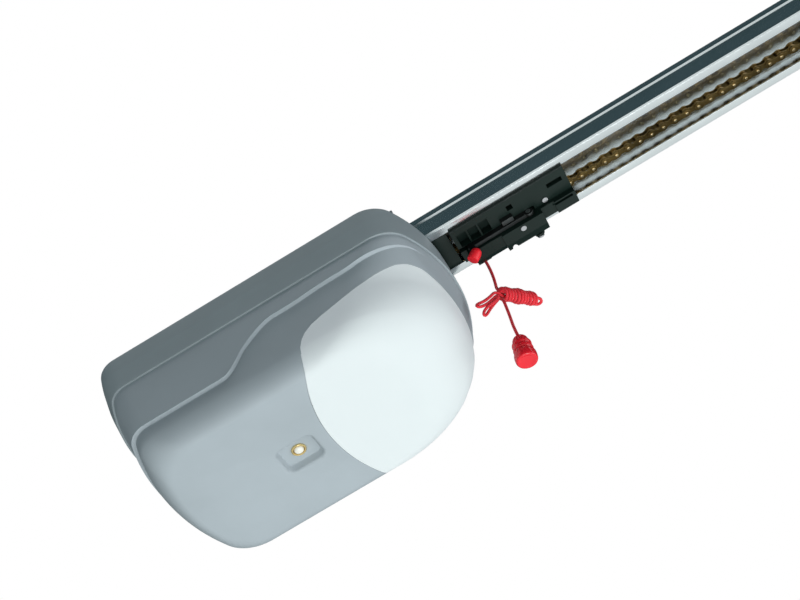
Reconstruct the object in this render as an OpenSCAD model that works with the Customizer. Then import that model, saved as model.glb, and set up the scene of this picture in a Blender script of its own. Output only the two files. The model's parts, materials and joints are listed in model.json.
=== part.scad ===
// Ceiling-mounted garage door opener: a drive head, a C-section rail with a roller chain,
// and a trolley with its emergency release cord.
// +X runs along the rail towards the door, +Z is up, and the unit is drawn as it hangs.
// The origin is the centre of the ceiling fixing plate, on its top face.

/* [Drive head] */
// Length of the head along the rail
head_len = 348; // [320:2:420]
// Width of the head at its top edge
head_w = 198; // [190:2:250]
// Height of the head below the rail
head_h = 130; // [118:1:160]
// Distance from the ceiling plate's centre to the rear end of the head
head_rear = 163; // [150:1:175]
// Height of the upper housing, down to the seam
rim_h = 40; // [30:1:50]
// Wall of the plastic mouldings
shell_t = 2.5; // [2:0.1:3.2]
// Thickness of the steel chassis plate
chassis_t = 2; // [1.5:0.1:3]
// Corner radius at the front end
front_r = 32; // [26:1:50]
// Corner radius at the rear end
rear_r = 24; // [16:1:40]

/* [Ceiling plate] */
// Length of the plate along the rail
hang_len = 64; // [56:1:90]
// Width of the plate
hang_w = 140; // [130:1:170]
// Thickness of the plates over the rail
hang_t = 3; // [2:0.5:5]
// Ceiling hole spacing along the rail
hang_dx = 40; // [30:1:50]
// Ceiling hole spacing across the rail
hang_dy = 116; // [108:1:124]
// Ceiling hole diameter
hang_d = 8.5; // [6.5:0.5:10.5]

/* [Rail and chain] */
// Length of the rail
rail_len = 3000; // [2500:50:3600]
// Outside width of the rail
rail_w = 62; // [58:1:70]
// Outside height of the rail
rail_h = 30; // [28:1:36]
// Width of the slot along the underside
slot_w = 43; // [42:0.5:46]
// Sheet thickness of the rail
rail_t = 1.5; // [1.2:0.1:2]
// Chain pitch
chain_pitch = 12.7; // [12.7:0.1:12.7]
// Teeth on each sprocket
teeth = 8; // [8:1:8]
// Height of the chain's middle above the underside of the rail
chain_h = 17; // [16:0.5:18]

/* [Trolley] */
// Length of the trolley
trolley_len = 121; // [118:1:160]
// Gap between the head and the trolley when the door is open
trolley_gap = 16; // [8:1:40]
// Side clearance of the trolley in the slot
glide_gap = 0.6; // [0.4:0.1:1.2]
// Bore for the pin of the door arm
arm_bore_d = 6.2; // [5:0.1:6.4]

/* [Release] */
// Diameter of the release cord
cord_d = 3; // [2.5:0.1:3.5]
// Largest diameter of the pull handle
handle_d = 21; // [18:1:30]
// Height of the pull handle
handle_h = 31; // [28:1:40]

/* [Push button] */
// Diameter of the button
button_d = 9; // [7:0.5:11]
// Outside diameter of the bezel
bezel_d = 14; // [13:0.5:18]
// Side of the square recess
recess_w = 38; // [34:1:44]

/* [Hidden] */
$fn = 48;
e = 0.01;                         // small overlap that keeps cuts clean

// levels, from the ceiling downwards
rail_top = -hang_t;
top_z = rail_top - rail_h;        // underside of the rail, and top of the head
deck_z = top_z - chassis_t;       // underside of the chassis plate
seam_z = top_z - rim_h;
base_z = top_z - head_h;
chain_z = top_z + chain_h;

// the head in plan
rear_x = -head_rear;
front_x = head_len - head_rear;
// Levels of the head: [sides, rear, front] drawn in by, then [front corner, front bow,
// rear corner, rear bow] radii. The base is far rounder in front than the top.
at_top = [0, 0, 0, front_r, 185, rear_r, 180];
at_seam = [2.5, 8, 0.5, front_r, 185, rear_r, 180];
at_end = [4.7, 22, 12, 75, 215, 21, 225];      // where the ends begin to round
at_base = [25, 45, 80, 72, 150, 45, 185];      // the flat base
side_h = 28;                      // height of the rounding along the sides
end_h = 52;                       // and at the two ends
ledge_w = 9;                      // inner ledge that carries the chassis plate

// machinery
drive_x = 70;                     // axis of the drive sprocket
wheel_z = deck_z - 38;            // middle of the worm wheel
worm_y = -42;                     // axis of the motor and worm
wheel_r = 33;
worm_r = 8;
shaft_r = 6;
bearing_r = 13;
motor_r = 31;
motor_x0 = -112;                  // rear end of the motor can
motor_x1 = 12;
motor_shaft_r = 4;
box_x0 = 20;
box_x1 = 112;
box_y0 = -58;
box_y1 = 46;
box_z0 = deck_z - 68;
box_top = deck_z - 1;
lid_t = 4;
lamp_z = base_z + 33;
lamp_x = 62;
board_z = base_z + 22;
board_t = 1.6;
board_x0 = -78;
board_x1 = 22;
recess_x = -9;                    // centre of the recess with the push button
recess_deep = 7;
button_stroke = 1.5;

// rail
rail_x0 = -60;
rail_x1 = rail_x0 + rail_len;
bead = 1.5;                       // depth of the groove pressed along each side
pitch_r = chain_pitch / 2 / sin(180 / teeth);
tip_r = pitch_r + 3.2;
band_w = 9;                       // width of a chain plate
band_in = 3.3;                    // half the gap between the plates
band_out = 5.9;                   // half the height over the plates
idler_x = drive_x + 220 * chain_pitch;
clamp_x = 150;
clamp_len = 32;
tube_y = 44;                      // bolts beside the rail
bolt_r = 3;

// trolley
trolley_x0 = front_x + trolley_gap;
trolley_x1 = trolley_x0 + trolley_len;
travel = 189 * chain_pitch;       // whole links, so the sprockets mesh at both ends
slot_y = slot_w / 2 - glide_gap;
plate_low = top_z - 3;            // underside of the trolley's main plate
plate_top = top_z + 8;
wing_low = top_z - 12;            // underside of its lower wing
wing_y0 = 7;
wing_y1 = rail_w / 2 + 0.4;
nose_x0 = trolley_x0 + 6;         // nose, block and heel, one after another
nose_x1 = trolley_x0 + 40;
block_x0 = trolley_x0 + 41;
block_x1 = trolley_x0 + 85;
heel_x0 = trolley_x0 + 99;
pivot_x = trolley_x0 + 74;
pivot_z = top_z - 5.2;
pin_r = 2.5;
run_gap = 0.05;                   // radial clearance of a running fit
arm_x = block_x0 + 6.5;            // bore for the door arm
arm_z = top_z - 8;
latch_x = trolley_x0 + 53;
knob_x = trolley_x0 + 12;
knob_z = top_z - 17;

// release cord
cord_x = trolley_x0 + 16;
cord_y = rail_w / 2 + 3.4;
lever_y0 = rail_w / 2 + 0.9;
lever_low = top_z + 1;
lever_top = lever_low + 7;
knot_z = lever_top + 1;
hank_top = top_z - 43;
hank_low = hank_top - 16;
hank_turn = 50;                   // bearing of the hank, from +X towards +Y
tail_turn = 205;                  // and of its folded tail
hank_at = [-4, -1.5];             // its near end, from the cord's hole
handle_at = [-9, -6];             // and the handle below it
handle_top = hank_low - 56;
upper_route = [[0, 0, knot_z + 1], [0, 0, lever_low], [0, 0, top_z - 8],
               [-1, 0, top_z - 18], [-2.5, -0.5, top_z - 30], [-4, -1.5, hank_top]];
lower_route = [[-4, -1.5, hank_low], [-5, -2.5, hank_low - 12], [-6.5, -4, hank_low - 26],
               [-8, -5, hank_low - 38], [-8.7, -5.8, hank_low - 48], [-9, -6, handle_top]];

// ---------- helpers ----------
function arc(c, r, a0, a1, n) =
    [for (i = [0:n]) c + r * [cos(a0 + (a1 - a0) * i / n), sin(a0 + (a1 - a0) * i / n)]];

// One end of an outline: a corner, a gentle bow, a corner, all tangent. half is the half width.
function end_curve(x, half, corner, bow) =
    let (r = min(corner, half - 1),
         c = x - bow,
         cx = c + sqrt(pow(bow - r, 2) - pow(half - r, 2)),
         a = atan2(half - r, cx - c))
    concat(arc([cx, r - half], r, -90, -a, 7),
           arc([c, 0], bow, -a, a, 6),
           arc([cx, half - r], r, a, 90, 7));

// The head's outline at one level, drawn in by an inset all round.
function head_points(in, level) =
    let (half = head_w / 2 - level[0] - in)
    concat(
        end_curve(front_x - level[2] - in, half, max(level[3] - in, 8), level[4] - in),
        [for (p = end_curve(-rear_x - level[1] - in, half, max(level[5] - in, 6), level[6] - in))
            [-p[0], -p[1]]]);

// The level at height h above the base: straight draft, then a quarter of an ellipse.
function swell(h, height) = let (s = max(0, 1 - h / height)) 1 - sqrt(1 - s * s);
function draft(h, height) = max(0, (head_h - rim_h - h) / (head_h - rim_h - height));
function level_at(h) =
    let (u = swell(h, end_h), v = swell(h, side_h), t = min(1, draft(h, end_h)))
    [for (i = [0:6]) i == 0
        ? (h > side_h ? at_seam[0] + 4.5 * draft(h, side_h) : 7 + (at_base[0] - 7) * v)
        : (h > end_h ? at_seam[i] + (at_end[i] - at_seam[i]) * t
                     : at_end[i] + (at_base[i] - at_end[i]) * u)];

module head_slice(in, level, z) {
    translate([0, 0, z]) linear_extrude(0.02) polygon(head_points(in, level));
}

// The upper part of the head between two levels, drawn in by in.
module rim_form(in, z0, z1) {
    hull() {
        head_slice(in, at_top, z1 - 0.02);
        head_slice(in, at_seam, z0);
    }
}

module base_form(in, z1) {
    hull() {
        head_slice(in, at_seam, z1 - 0.02);
        for (h = [52, 40, 30, 21, 13, 7, 3, 1, 0])
            head_slice(in, level_at(h * end_h / 52), base_z + in + h * end_h / 52);
    }
}

// The zone of the lens: bounded by an arc on the base and by an arch up each side wall.
lens_arc = 190;                   // radius of the arc
lens_x = 22;                      // where the arc crosses the middle of the base
// the arch of its edge up each side and over the front: [x, height above the base]
lens_arch = [[-10, -5], [-10, 14], [45, 14], [46.5, 20], [50, 27], [55, 33], [63, 37.8], [74, 41],
             [88, 44], [103, 47.4], [130, 56.7], [149, 62.6], [158, 63.8], [166, 63], [175, 58.5],
             [front_x + 20, 55], [front_x + 20, -5]];
module lens_zone(gap) {
    intersection() {
        rotate([90, 0, 0]) translate([0, 0, -head_w]) linear_extrude(head_w * 2)
            polygon([for (p = lens_arch) [p[0] + (p[0] < 100 ? gap : 0),
                                          base_z + p[1] - (p[1] > 28 ? gap : 0)]]);
        translate([0, 0, base_z - 6]) linear_extrude(70)
            polygon(concat([for (i = [-12:12]) let (y = i * head_w / 20)
                    [lens_x + gap + lens_arc - sqrt(lens_arc * lens_arc - y * y), y]],
                [[front_x + 20, head_w], [front_x + 20, -head_w]]));
    }
}

module cyl(r, z0, z1) {
    translate([0, 0, z0]) cylinder(r = r, h = z1 - z0);
}

module rod_x(r, x0, x1) {
    translate([x0, 0, 0]) rotate([0, 90, 0]) cylinder(r = r, h = x1 - x0);
}

module rod_y(r, y0, y1) {
    translate([0, y0, 0]) rotate([-90, 0, 0]) cylinder(r = r, h = y1 - y0);
}

module box(lo, hi) {
    translate(lo) cube(hi - lo);
}

// An outline in Y and Z, given as [y, z] points, run along X.
module run_x(points, x0, x1) {
    translate([x0, 0, 0]) rotate([90, 0, 90]) linear_extrude(x1 - x0) polygon(points);
}

module each_corner(dx, dy) {
    for (sx = [-1, 1], sy = [-1, 1]) translate([sx * dx, sy * dy, 0]) children();
}

module screw(r, head_r, head_h, z0, z1) {
    cyl(r, z0, z1 + e);
    cyl(head_r, z1, z1 + head_h);
}

// A tube swept along a short route of points: a ring of sides points at each.
module tube(route, r) {
    sides = 8;
    n = len(route);
    points = [for (p = route, k = [0:sides - 1])
        [p[0] + r * cos(360 * k / sides), p[1] + r * sin(360 * k / sides), p[2]]];
    walls = [for (i = [0:n - 2], k = [0:sides - 1])
        [i * sides + k, i * sides + (k + 1) % sides,
         (i + 1) * sides + (k + 1) % sides, (i + 1) * sides + k]];
    polyhedron(points, concat(
        [[for (k = [sides - 1:-1:0]) k]], walls,
        [[for (k = [0:sides - 1]) (n - 1) * sides + k]]), convexity = 4);
}

function screw_places() = [
    [front_x - 74, head_w / 2 - 11], [front_x - 74, 11 - head_w / 2],
    [rear_x + 64, head_w / 2 - 11], [rear_x + 64, 11 - head_w / 2]];

module ring_of_coils(r, wire, turns, h) {
    for (i = [0:turns - 1])
        translate([0, 0, h * i / (turns - 1)])
            rotate_extrude() translate([r, 0]) circle(r = wire, $fn = 16);
}

// ---------- drive head ----------
module upper_housing() {
    color([0.40, 0.45, 0.47]) difference() {
        rim_form(0, seam_z, top_z);
        difference() {
            translate([0, 0, -e]) rim_form(shell_t, seam_z - 1, top_z + 1);
            translate([0, 0, deck_z - shell_t]) linear_extrude(shell_t) difference() {
                polygon(head_points(0, at_top));
                polygon(head_points(ledge_w, at_top));
            }
        }
        for (p = screw_places()) translate(p) cyl(5.4, deck_z - 20, top_z);
        translate([0, gland_y, gland_z]) rod_x(gland_r, rear_x - 20, rear_x + 30);
    }
}

// Post inside the cover that takes a screw from above.
module boss(r, bore, z0, z1) {
    difference() {
        cyl(r, z0, z1);
        cyl(bore, z1 - 25, z1 + 1);
    }
}

module lower_cover() {
    color([0.58, 0.62, 0.65]) {
        difference() {
            base_form(0, seam_z);
            base_form(shell_t, seam_z + 1);
            lens_zone(0);
            recess_cut();
        }
        difference() {
            recess_solid(shell_t);
            recess_cut();
            translate([recess_x, 0, 0]) cyl(bezel_d / 2 - 2, base_z, base_z + 30);
        }
        for (p = screw_places()) translate(p) boss(5, 1.6, seam_z - 30, deck_z);
        for (p = board_places()) translate(p) boss(3.2, 1.2, base_z + shell_t - 0.2, board_z);
    }
}

recess_slope = 2;                 // draft of the recess walls
// Four-sided recess with sloping walls, and the tray moulded round it.
module recess_form(grow, z0, z1) {
    translate([recess_x, 0, 0]) hull() {
        translate([0, 0, z0]) rounded(recess_w + 2 * grow, 5 + grow, 0.02);
        translate([0, 0, z1 - 0.02]) rounded(recess_w - 2 * recess_slope + 2 * grow, 4 + grow, 0.02);
    }
}

module rounded(w, r, h) {
    linear_extrude(h) hull() for (sx = [-1, 1], sy = [-1, 1])
        translate([sx * (w / 2 - r), sy * (w / 2 - r)]) circle(r = r, $fn = 32);
}

module recess_cut() {
    recess_form(0, base_z - e, base_z + recess_deep);
}

module recess_solid(t) {
    recess_form(t, base_z + e, base_z + recess_deep + t);
}

module lamp_lens() {
    color([0.92, 0.94, 0.93]) intersection() {
        difference() {
            base_form(0, seam_z - 1);
            base_form(shell_t - 0.3, seam_z + 1);
        }
        lens_zone(0.3);
    }
}

module chassis_plate() {
    color([0.75, 0.76, 0.78]) difference() {
        translate([0, 0, deck_z]) linear_extrude(chassis_t) polygon(head_points(shell_t + 0.8, at_top));
        for (p = screw_places()) translate(p) cyl(2.2, deck_z - 1, top_z + 1);
        translate([drive_x, 0, 0]) cyl(15, deck_z - 1, top_z + 1);
        each_tube() cyl(bolt_r, deck_z - 1, top_z + 1);
        for (p = chassis_screw_places()) translate(p) cyl(2.2, deck_z - 1, top_z + 1);
    }
}

function chassis_screw_places() = [
    [box_x0 + 8, box_y1 - 8], [box_x1 - 8, box_y1 - 8],
    [box_x0 + 8, box_y0 + 8], [box_x1 - 8, box_y0 + 8]];

module each_tube() {
    for (x = [0, clamp_x], s = [-1, 1]) translate([x, s * tube_y, 0]) children();
}

module chassis_screws() {
    color([0.72, 0.72, 0.74]) for (p = chassis_screw_places())
        translate(p) screw(2.2, 4, 2.2, deck_z - 12, top_z);
}

module cover_screws() {
    color([0.72, 0.72, 0.74]) for (p = screw_places())
        translate(p) screw(1.6, 3.5, 2.2, deck_z - 20, top_z);
}

gland_y = 52;
gland_z = top_z - 24;
gland_r = 8;
gland_bore = 4.5;
module cable_gland() {
    color([0.12, 0.12, 0.13]) translate([0, gland_y, gland_z]) difference() {
        union() {
            rod_x(gland_r, rear_x - 2, rear_x + 14);
            rod_x(gland_r + 3, rear_x - 3, rear_x + 3);
        }
        rod_x(gland_bore, rear_x - 10, rear_x + 20);
    }
}

// ---------- push button ----------
recess_top = base_z + recess_deep;
module button_bezel() {
    color([0.80, 0.66, 0.38]) translate([recess_x, 0, 0]) difference() {
        union() {
            cyl(bezel_d / 2, recess_top - 3, recess_top);
            cyl(bezel_d / 2 - 2.2, recess_top - 1, recess_top + shell_t + 2);
        }
        cyl(button_d / 2 + 0.25, recess_top - 4, recess_top + 20);
    }
}

module push_button() {
    color([0.93, 0.92, 0.88]) translate([recess_x, 0, 0]) {
        cyl(button_d / 2, recess_top - 3.2, recess_top + 3);
        intersection() {
            translate([0, 0, recess_top + 0.6]) sphere(r = 6.2);
            cyl(button_d / 2, recess_top - 6, recess_top - 3);
        }
        cyl(1.6, recess_top + 2, board_z - 4.2 - button_stroke);
    }
}

module button_spring() {
    color([0.75, 0.75, 0.76]) translate([recess_x, 0, recess_top + 3.5])
        ring_of_coils(2.6, 0.3, 4, board_z - 4.3 - recess_top - 3.5);
}

// ---------- electrics ----------
function board_places() = [for (x = [board_x0 + 5, board_x1 - 5], y = [-39, 39]) [x, y]];

module circuit_board() {
    color([0.10, 0.38, 0.22]) difference() {
        box([board_x0, -44, board_z], [board_x1, 44, board_z + board_t]);
        for (p = board_places()) translate(p) cyl(1.7, board_z - 1, board_z + 3);
    }
}

module board_parts() {
    top = board_z + board_t;
    color([0.15, 0.15, 0.17]) {
        for (i = [0:2]) box([board_x0 + 12 + 22 * i, 14, top], [board_x0 + 30 + 22 * i, 30, top + 15]);
        for (i = [0:3]) translate([board_x0 + 20 + 14 * i, -30, 0]) cyl(5, top, top + 16);
        box([board_x0 + 34, -14, top], [board_x0 + 58, -4, top + 3]);
        box([recess_x - 3, -3, board_z - 4], [recess_x + 3, 3, board_z]);
    }
}

module terminal_block() {
    color([0.16, 0.45, 0.24]) difference() {
        box([board_x0 + 2, -42, board_z + board_t], [board_x0 + 11, 8, board_z + board_t + 12]);
        for (i = [0:7]) translate([board_x0 + 6.5, -38 + 6 * i, 0])
            cyl(1.6, board_z + 8, board_z + 20);
    }
}

module transformer() {
    x0 = -124;
    color([0.36, 0.33, 0.30]) {
        box([x0, 14, deck_z - 52], [x0 + 56, 70, deck_z - 8]);
        box([x0 - 6, 22, deck_z - 46], [x0 + 62, 62, deck_z - 14]);
        box([x0 - 9, 20, deck_z - 10], [x0 + 65, 64, deck_z]);
    }
}

module motor_can() {
    color([0.56, 0.57, 0.59]) translate([0, worm_y, wheel_z]) difference() {
        rod_x(motor_r, motor_x0, motor_x1);
        rod_x(motor_r - 2, motor_x0 + 2, motor_x1 + 1);
        rod_x(motor_shaft_r + 4, motor_x0 - 1, motor_x0 + 3);
    }
}

module motor_end_cap() {
    color([0.66, 0.67, 0.68]) translate([0, worm_y, wheel_z]) difference() {
        union() {
            rod_x(motor_r, motor_x1, motor_x1 + 8);
            rod_x(motor_r - 2.1, motor_x1 - 6, motor_x1 + 1);
        }
        rod_x(motor_shaft_r + run_gap, motor_x1 - 10, motor_x1 + 10);
    }
}

module motor_shaft() {
    color([0.70, 0.70, 0.72]) translate([0, worm_y, wheel_z]) {
        rod_x(motor_shaft_r, motor_x0 - 10, box_x1 - 8);
        rod_x(24, motor_x0 + 22, motor_x1 - 14);
        rod_x(worm_r - 2, drive_x - 27, drive_x + 27);
        for (i = [-6:6]) rod_x_at(worm_r, drive_x + 4 * i);
    }
}

module rod_x_at(r, x) {
    rod_x(r, x - 0.8, x + 0.8);
}

module speed_disc() {
    color([0.10, 0.10, 0.11]) translate([0, worm_y, wheel_z]) difference() {
        rod_x(13, motor_x0 - 8, motor_x0 - 6.5);
        rod_x(motor_shaft_r, motor_x0 - 10, motor_x0);
        for (k = [0:7]) rotate([45 * k, 0, 0]) box([motor_x0 - 10, -1.2, 7], [motor_x0, 1.2, 11]);
    }
}

module gearbox_housing() {
    color([0.62, 0.63, 0.64]) difference() {
        box([box_x0, box_y0, box_z0], [box_x1, box_y1, box_top]);
        translate([drive_x, 0, 0]) {
            cyl(wheel_r + 2, box_z0 - 1, box_top - 14);
            cyl(bearing_r, box_top - 15, box_top - 4);
            cyl(shaft_r + 2, box_top - 5, box_top + 1);
        }
        translate([0, worm_y, wheel_z]) {
            rod_x(worm_r + 2, box_x0 + 6, box_x1 - 6);
            rod_x(motor_shaft_r + 0.5, box_x0 - 1, box_x1 - 5);
        }
        for (p = chassis_screw_places()) translate(p) cyl(2.2, box_top - 12, box_top + 1);
    }
    color([0.62, 0.63, 0.64]) for (p = chassis_screw_places()) translate(p) difference() {
        cyl(6, box_top - e, deck_z);
        cyl(2.2, box_top - 1, deck_z + 1);
    }
}

module gearbox_lid() {
    color([0.58, 0.59, 0.60]) difference() {
        box([box_x0, box_y0, box_z0 - lid_t], [box_x1, box_y1, box_z0]);
        translate([drive_x, 0, 0]) cyl(bearing_r, box_z0 - 3, box_z0 + 1);
        translate([drive_x, 0, 0]) cyl(shaft_r + 2, box_z0 - 10, box_z0 + 1);
    }
}

module worm_wheel() {
    gap = 0.5;
    color([0.90, 0.86, 0.72]) translate([drive_x, 0, wheel_z]) difference() {
        union() {
            cyl(-worm_y - worm_r - gap - 2.5, -7, 7);
            for (k = [0:29]) rotate(12 * k)
                box([20, -1.4, -7], [-worm_y - worm_r - gap, 1.4, 7]);
            cyl(12, -12, 12);
        }
        cyl(shaft_r, -20, 20);
    }
}

module output_shaft() {
    color([0.70, 0.70, 0.72]) translate([drive_x, 0, 0])
        cyl(shaft_r, box_z0 - 2, chain_z + 9);
}

module bearing(z0, z1) {
    translate([drive_x, 0, 0]) difference() {
        cyl(bearing_r, z0, z1);
        cyl(shaft_r + run_gap, z0 - 1, z1 + 1);
    }
}

module shaft_bearings() {
    color([0.70, 0.70, 0.72]) {
        bearing(box_top - 14, box_top - 4);
        bearing(box_z0 - 3, box_z0 + 7);
    }
}

// Toothed wheel for the chain, on its own axis.
module sprocket(bore_r, hub_z0, hub_z1) {
    difference() {
        union() {
            difference() {
                cyl(tip_r, -2.7, 2.7);
                for (k = [0:teeth - 1]) rotate(360 / teeth * (k + 0.5)) translate([pitch_r, 0, 0]) {
                    cyl(4.1, -4, 4);
                    box([0, -4.1, -4], [10, 4.1, 4]);
                }
            }
            cyl(10, hub_z0, hub_z1);
        }
        cyl(bore_r, -30, 30);
    }
}

module drive_sprocket() {
    color([0.42, 0.42, 0.43]) translate([drive_x, 0, chain_z]) sprocket(shaft_r, -14, 6);
}

module lamp_holder() {
    color([0.90, 0.90, 0.88]) {
        translate([0, 0, lamp_z]) difference() {
            rod_x(15, lamp_x - 14, lamp_x + 18);
            rod_x(12, lamp_x - 4, lamp_x + 20);
        }
        box([lamp_x - 18, -12, lamp_z - 12], [lamp_x - 13, 12, box_z0 - lid_t]);
    }
}

module lamp_bulb() {
    color([0.95, 0.93, 0.86]) translate([0, 0, lamp_z]) {
        rod_x(11.5, lamp_x - 3.5, lamp_x + 24);
        rod_x(15, lamp_x + 20, lamp_x + 34);
        translate([lamp_x + 46, 0, 0]) sphere(r = 19);
    }
}

// ---------- fixing to the ceiling and to the rail ----------
module ceiling_plate() {
    color([0.76, 0.77, 0.79]) difference() {
        box([-hang_len / 2, -hang_w / 2, -hang_t], [hang_len / 2, hang_w / 2, 0]);
        each_corner(hang_dx / 2, hang_dy / 2) cyl(hang_d / 2, -10, 1);
        for (s = [-1, 1]) translate([0, s * tube_y, 0]) cyl(bolt_r + 0.2, -10, 1);
    }
}

module rail_clamp() {
    color([0.76, 0.77, 0.79]) translate([clamp_x, 0, 0]) difference() {
        box([-clamp_len / 2, -52, -hang_t], [clamp_len / 2, 52, 0]);
        for (s = [-1, 1]) translate([0, s * tube_y, 0]) cyl(bolt_r + 0.2, -10, 1);
    }
}

module spacer_tubes() {
    color([0.70, 0.71, 0.73]) each_tube() difference() {
        cyl(7, top_z, -hang_t);
        cyl(bolt_r + 0.2, top_z - 1, 1);
    }
}

module clamp_bolts() {
    color([0.66, 0.66, 0.68]) each_tube() {
        cyl(bolt_r, deck_z - 5.5, e);
        cylinder(r = 5.5, h = 4, $fn = 6);
        translate([0, 0, deck_z - 4]) cylinder(r = 5.5, h = 4, $fn = 6);
    }
}

// ---------- rail and chain ----------
// Half of the folded section, from the middle of the web to the lip's edge, as [y, z] above the underside.
function half_section() =
    let (w = rail_w / 2, g = bead, t = rail_t)
    [[0, rail_h], [w - 2, rail_h], [w, rail_h - 2], [w, rail_h - 8], [w - g, rail_h - 9.5],
     [w - g, 8.5], [w, 7], [w, 1.5], [w - 1.5, 0], [slot_w / 2, 0],
     [slot_w / 2, t], [w - t - 0.6, t], [w - t, t + 0.6], [w - t, 6.4], [w - t - g, 7.9],
     [w - t - g, rail_h - 8.9], [w - t, rail_h - 7.4], [w - t, rail_h - t - 1],
     [w - t - 1, rail_h - t], [0, rail_h - t]];

module rail() {
    half = half_section();
    lift = [for (p = half) [p[0], p[1] + top_z]];
    other = [for (i = [len(half) - 1:-1:0]) [-half[i][0], half[i][1] + top_z]];
    color([0.80, 0.82, 0.84]) difference() {
        union() {
            run_x(lift, rail_x0, rail_x1);
            run_x(other, rail_x0, rail_x1);
        }
        for (x = end_bolt_x()) translate([x, 0, end_bolt_z]) rod_y(3.2, -rail_w, rail_w);
    }
}

function end_bolt_x() = [rail_x1 - 42, rail_x1 - 18];
end_bolt_z = chain_z + 0.5;

// Plates of the chain, above and below the teeth, with the rollers as a bar on the straights.
module chain_band(z0, z1) {
    difference() {
        chain_loop(pitch_r + band_w / 2, z0, z1);
        chain_loop(pitch_r - band_w / 2, z0 - 1, z1 + 1);
    }
}

module chain_loop(r, z0, z1) {
    translate([drive_x, 0, 0]) cyl(r, z0, z1);
    translate([idler_x, 0, 0]) cyl(r, z0, z1);
    box([drive_x, -r, z0], [idler_x, r, z1]);
}

module chain() {
    color([0.45, 0.37, 0.20]) translate([0, 0, chain_z]) {
        chain_band(band_in, band_out);
        chain_band(-band_out, -band_in);
        for (s = [-1, 1]) box([drive_x + 26, s * pitch_r - 3, -band_in - e],
                              [idler_x - 26, s * pitch_r + 3, band_in + e]);
    }
}

module end_stop(x0) {
    difference() {
        box([x0, -slot_w / 2 + 2, top_z + rail_t + 0.2], [x0 + 16, slot_w / 2 - 2, top_z + 8]);
        translate([x0 + 8, 0, 0]) cyl(2.6, top_z - 4, top_z + 12);
    }
    box([x0, -rail_w / 2 + 4, top_z + rail_t], [x0 + 16, rail_w / 2 - 4, top_z + 4]);
}

module stop_rear() {
    color([0.10, 0.10, 0.11]) end_stop(trolley_x0 - 19);
}

module stop_front() {
    color([0.10, 0.10, 0.11]) end_stop(trolley_x1 + travel + 3);
}

// ---------- door end of the rail ----------
fork_x = idler_x + 34;            // back of the idler fork
pin_x = rail_x1 + 60;             // header pin
pin_z = top_z + rail_h / 2;
ear_y = rail_w / 2;
module idler_sprocket() {
    color([0.42, 0.42, 0.43]) translate([idler_x, 0, chain_z]) sprocket(4 + run_gap, -6.5, 6.5);
}

module idler_axle() {
    color([0.70, 0.70, 0.72]) translate([idler_x, 0, 0]) {
        cyl(4, chain_z - 10, chain_z + 9.5);
        cyl(6, chain_z - 12, chain_z - 9.6);
    }
}

module idler_fork() {
    color([0.74, 0.75, 0.77]) difference() {
        union() {
            box([idler_x - 10, -8.5, chain_z + 7], [fork_x, 8.5, chain_z + 9.5]);
            box([idler_x - 10, -8.5, chain_z - 9.5], [fork_x, 8.5, chain_z - 7]);
            box([fork_x - 3, -8.5, chain_z - 9.5], [fork_x, 8.5, chain_z + 9.5]);
        }
        translate([idler_x, 0, 0]) cyl(4, chain_z - 20, chain_z + 20);
        translate([0, 0, chain_z]) rod_x(4, fork_x - 10, fork_x + 10);
    }
}

module rail_end_bracket() {
    color([0.74, 0.75, 0.77]) difference() {
        union() {
            box([rail_x1, -ear_y - 3, top_z + 1], [rail_x1 + 3, ear_y + 3, rail_top - 1]);
            for (s = [-1, 1]) translate([0, s * (ear_y + 1.5), 0])
                box([rail_x1 - 54, -1.5, top_z + 4], [pin_x + 12, 1.5, rail_top - 4]);
        }
        translate([0, 0, chain_z]) rod_x(4.2, rail_x1 - 5, rail_x1 + 10);
        for (x = end_bolt_x()) translate([x, 0, end_bolt_z]) rod_y(3.2, -rail_w, rail_w);
        translate([pin_x, 0, pin_z]) rod_y(4, -rail_w, rail_w);
    }
}

module end_bracket_bolts() {
    color([0.66, 0.66, 0.68]) for (x = end_bolt_x(), s = [-1, 1])
        translate([x, 0, end_bolt_z]) mirror([0, s < 0 ? 1 : 0, 0]) {
            rod_y(3.2, ear_y - 8, ear_y + 4);
            rod_y(5.5, ear_y + 3, ear_y + 7);
            rod_y(5, ear_y - bead - rail_t - 4, ear_y - bead - rail_t);
        }
}

module tension_bolt() {
    color([0.66, 0.66, 0.68]) translate([0, 0, chain_z]) {
        rod_x(4, fork_x - 3, rail_x1 + 46);
        translate([fork_x - 9, 0, 0]) rotate([0, 90, 0]) cylinder(r = 6.8, h = 6, $fn = 6);
    }
}

module tension_spring() {
    color([0.60, 0.61, 0.63]) translate([rail_x1 + 4.6, 0, chain_z]) rotate([0, 90, 0])
        ring_of_coils(7, 1.3, 7, 22);
}

module tension_nut() {
    color([0.66, 0.66, 0.68]) translate([rail_x1 + 29, 0, chain_z]) rotate([0, 90, 0]) difference() {
        cylinder(r = 7.5, h = 7, $fn = 6);
        cylinder(r = 4, h = 30, center = true);
    }
}

module header_pin() {
    color([0.70, 0.70, 0.72]) translate([pin_x, 0, pin_z]) {
        rod_y(4, -ear_y - 11, ear_y + 11);
        rod_y(6.5, ear_y + 10, ear_y + 13);
    }
}

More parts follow.
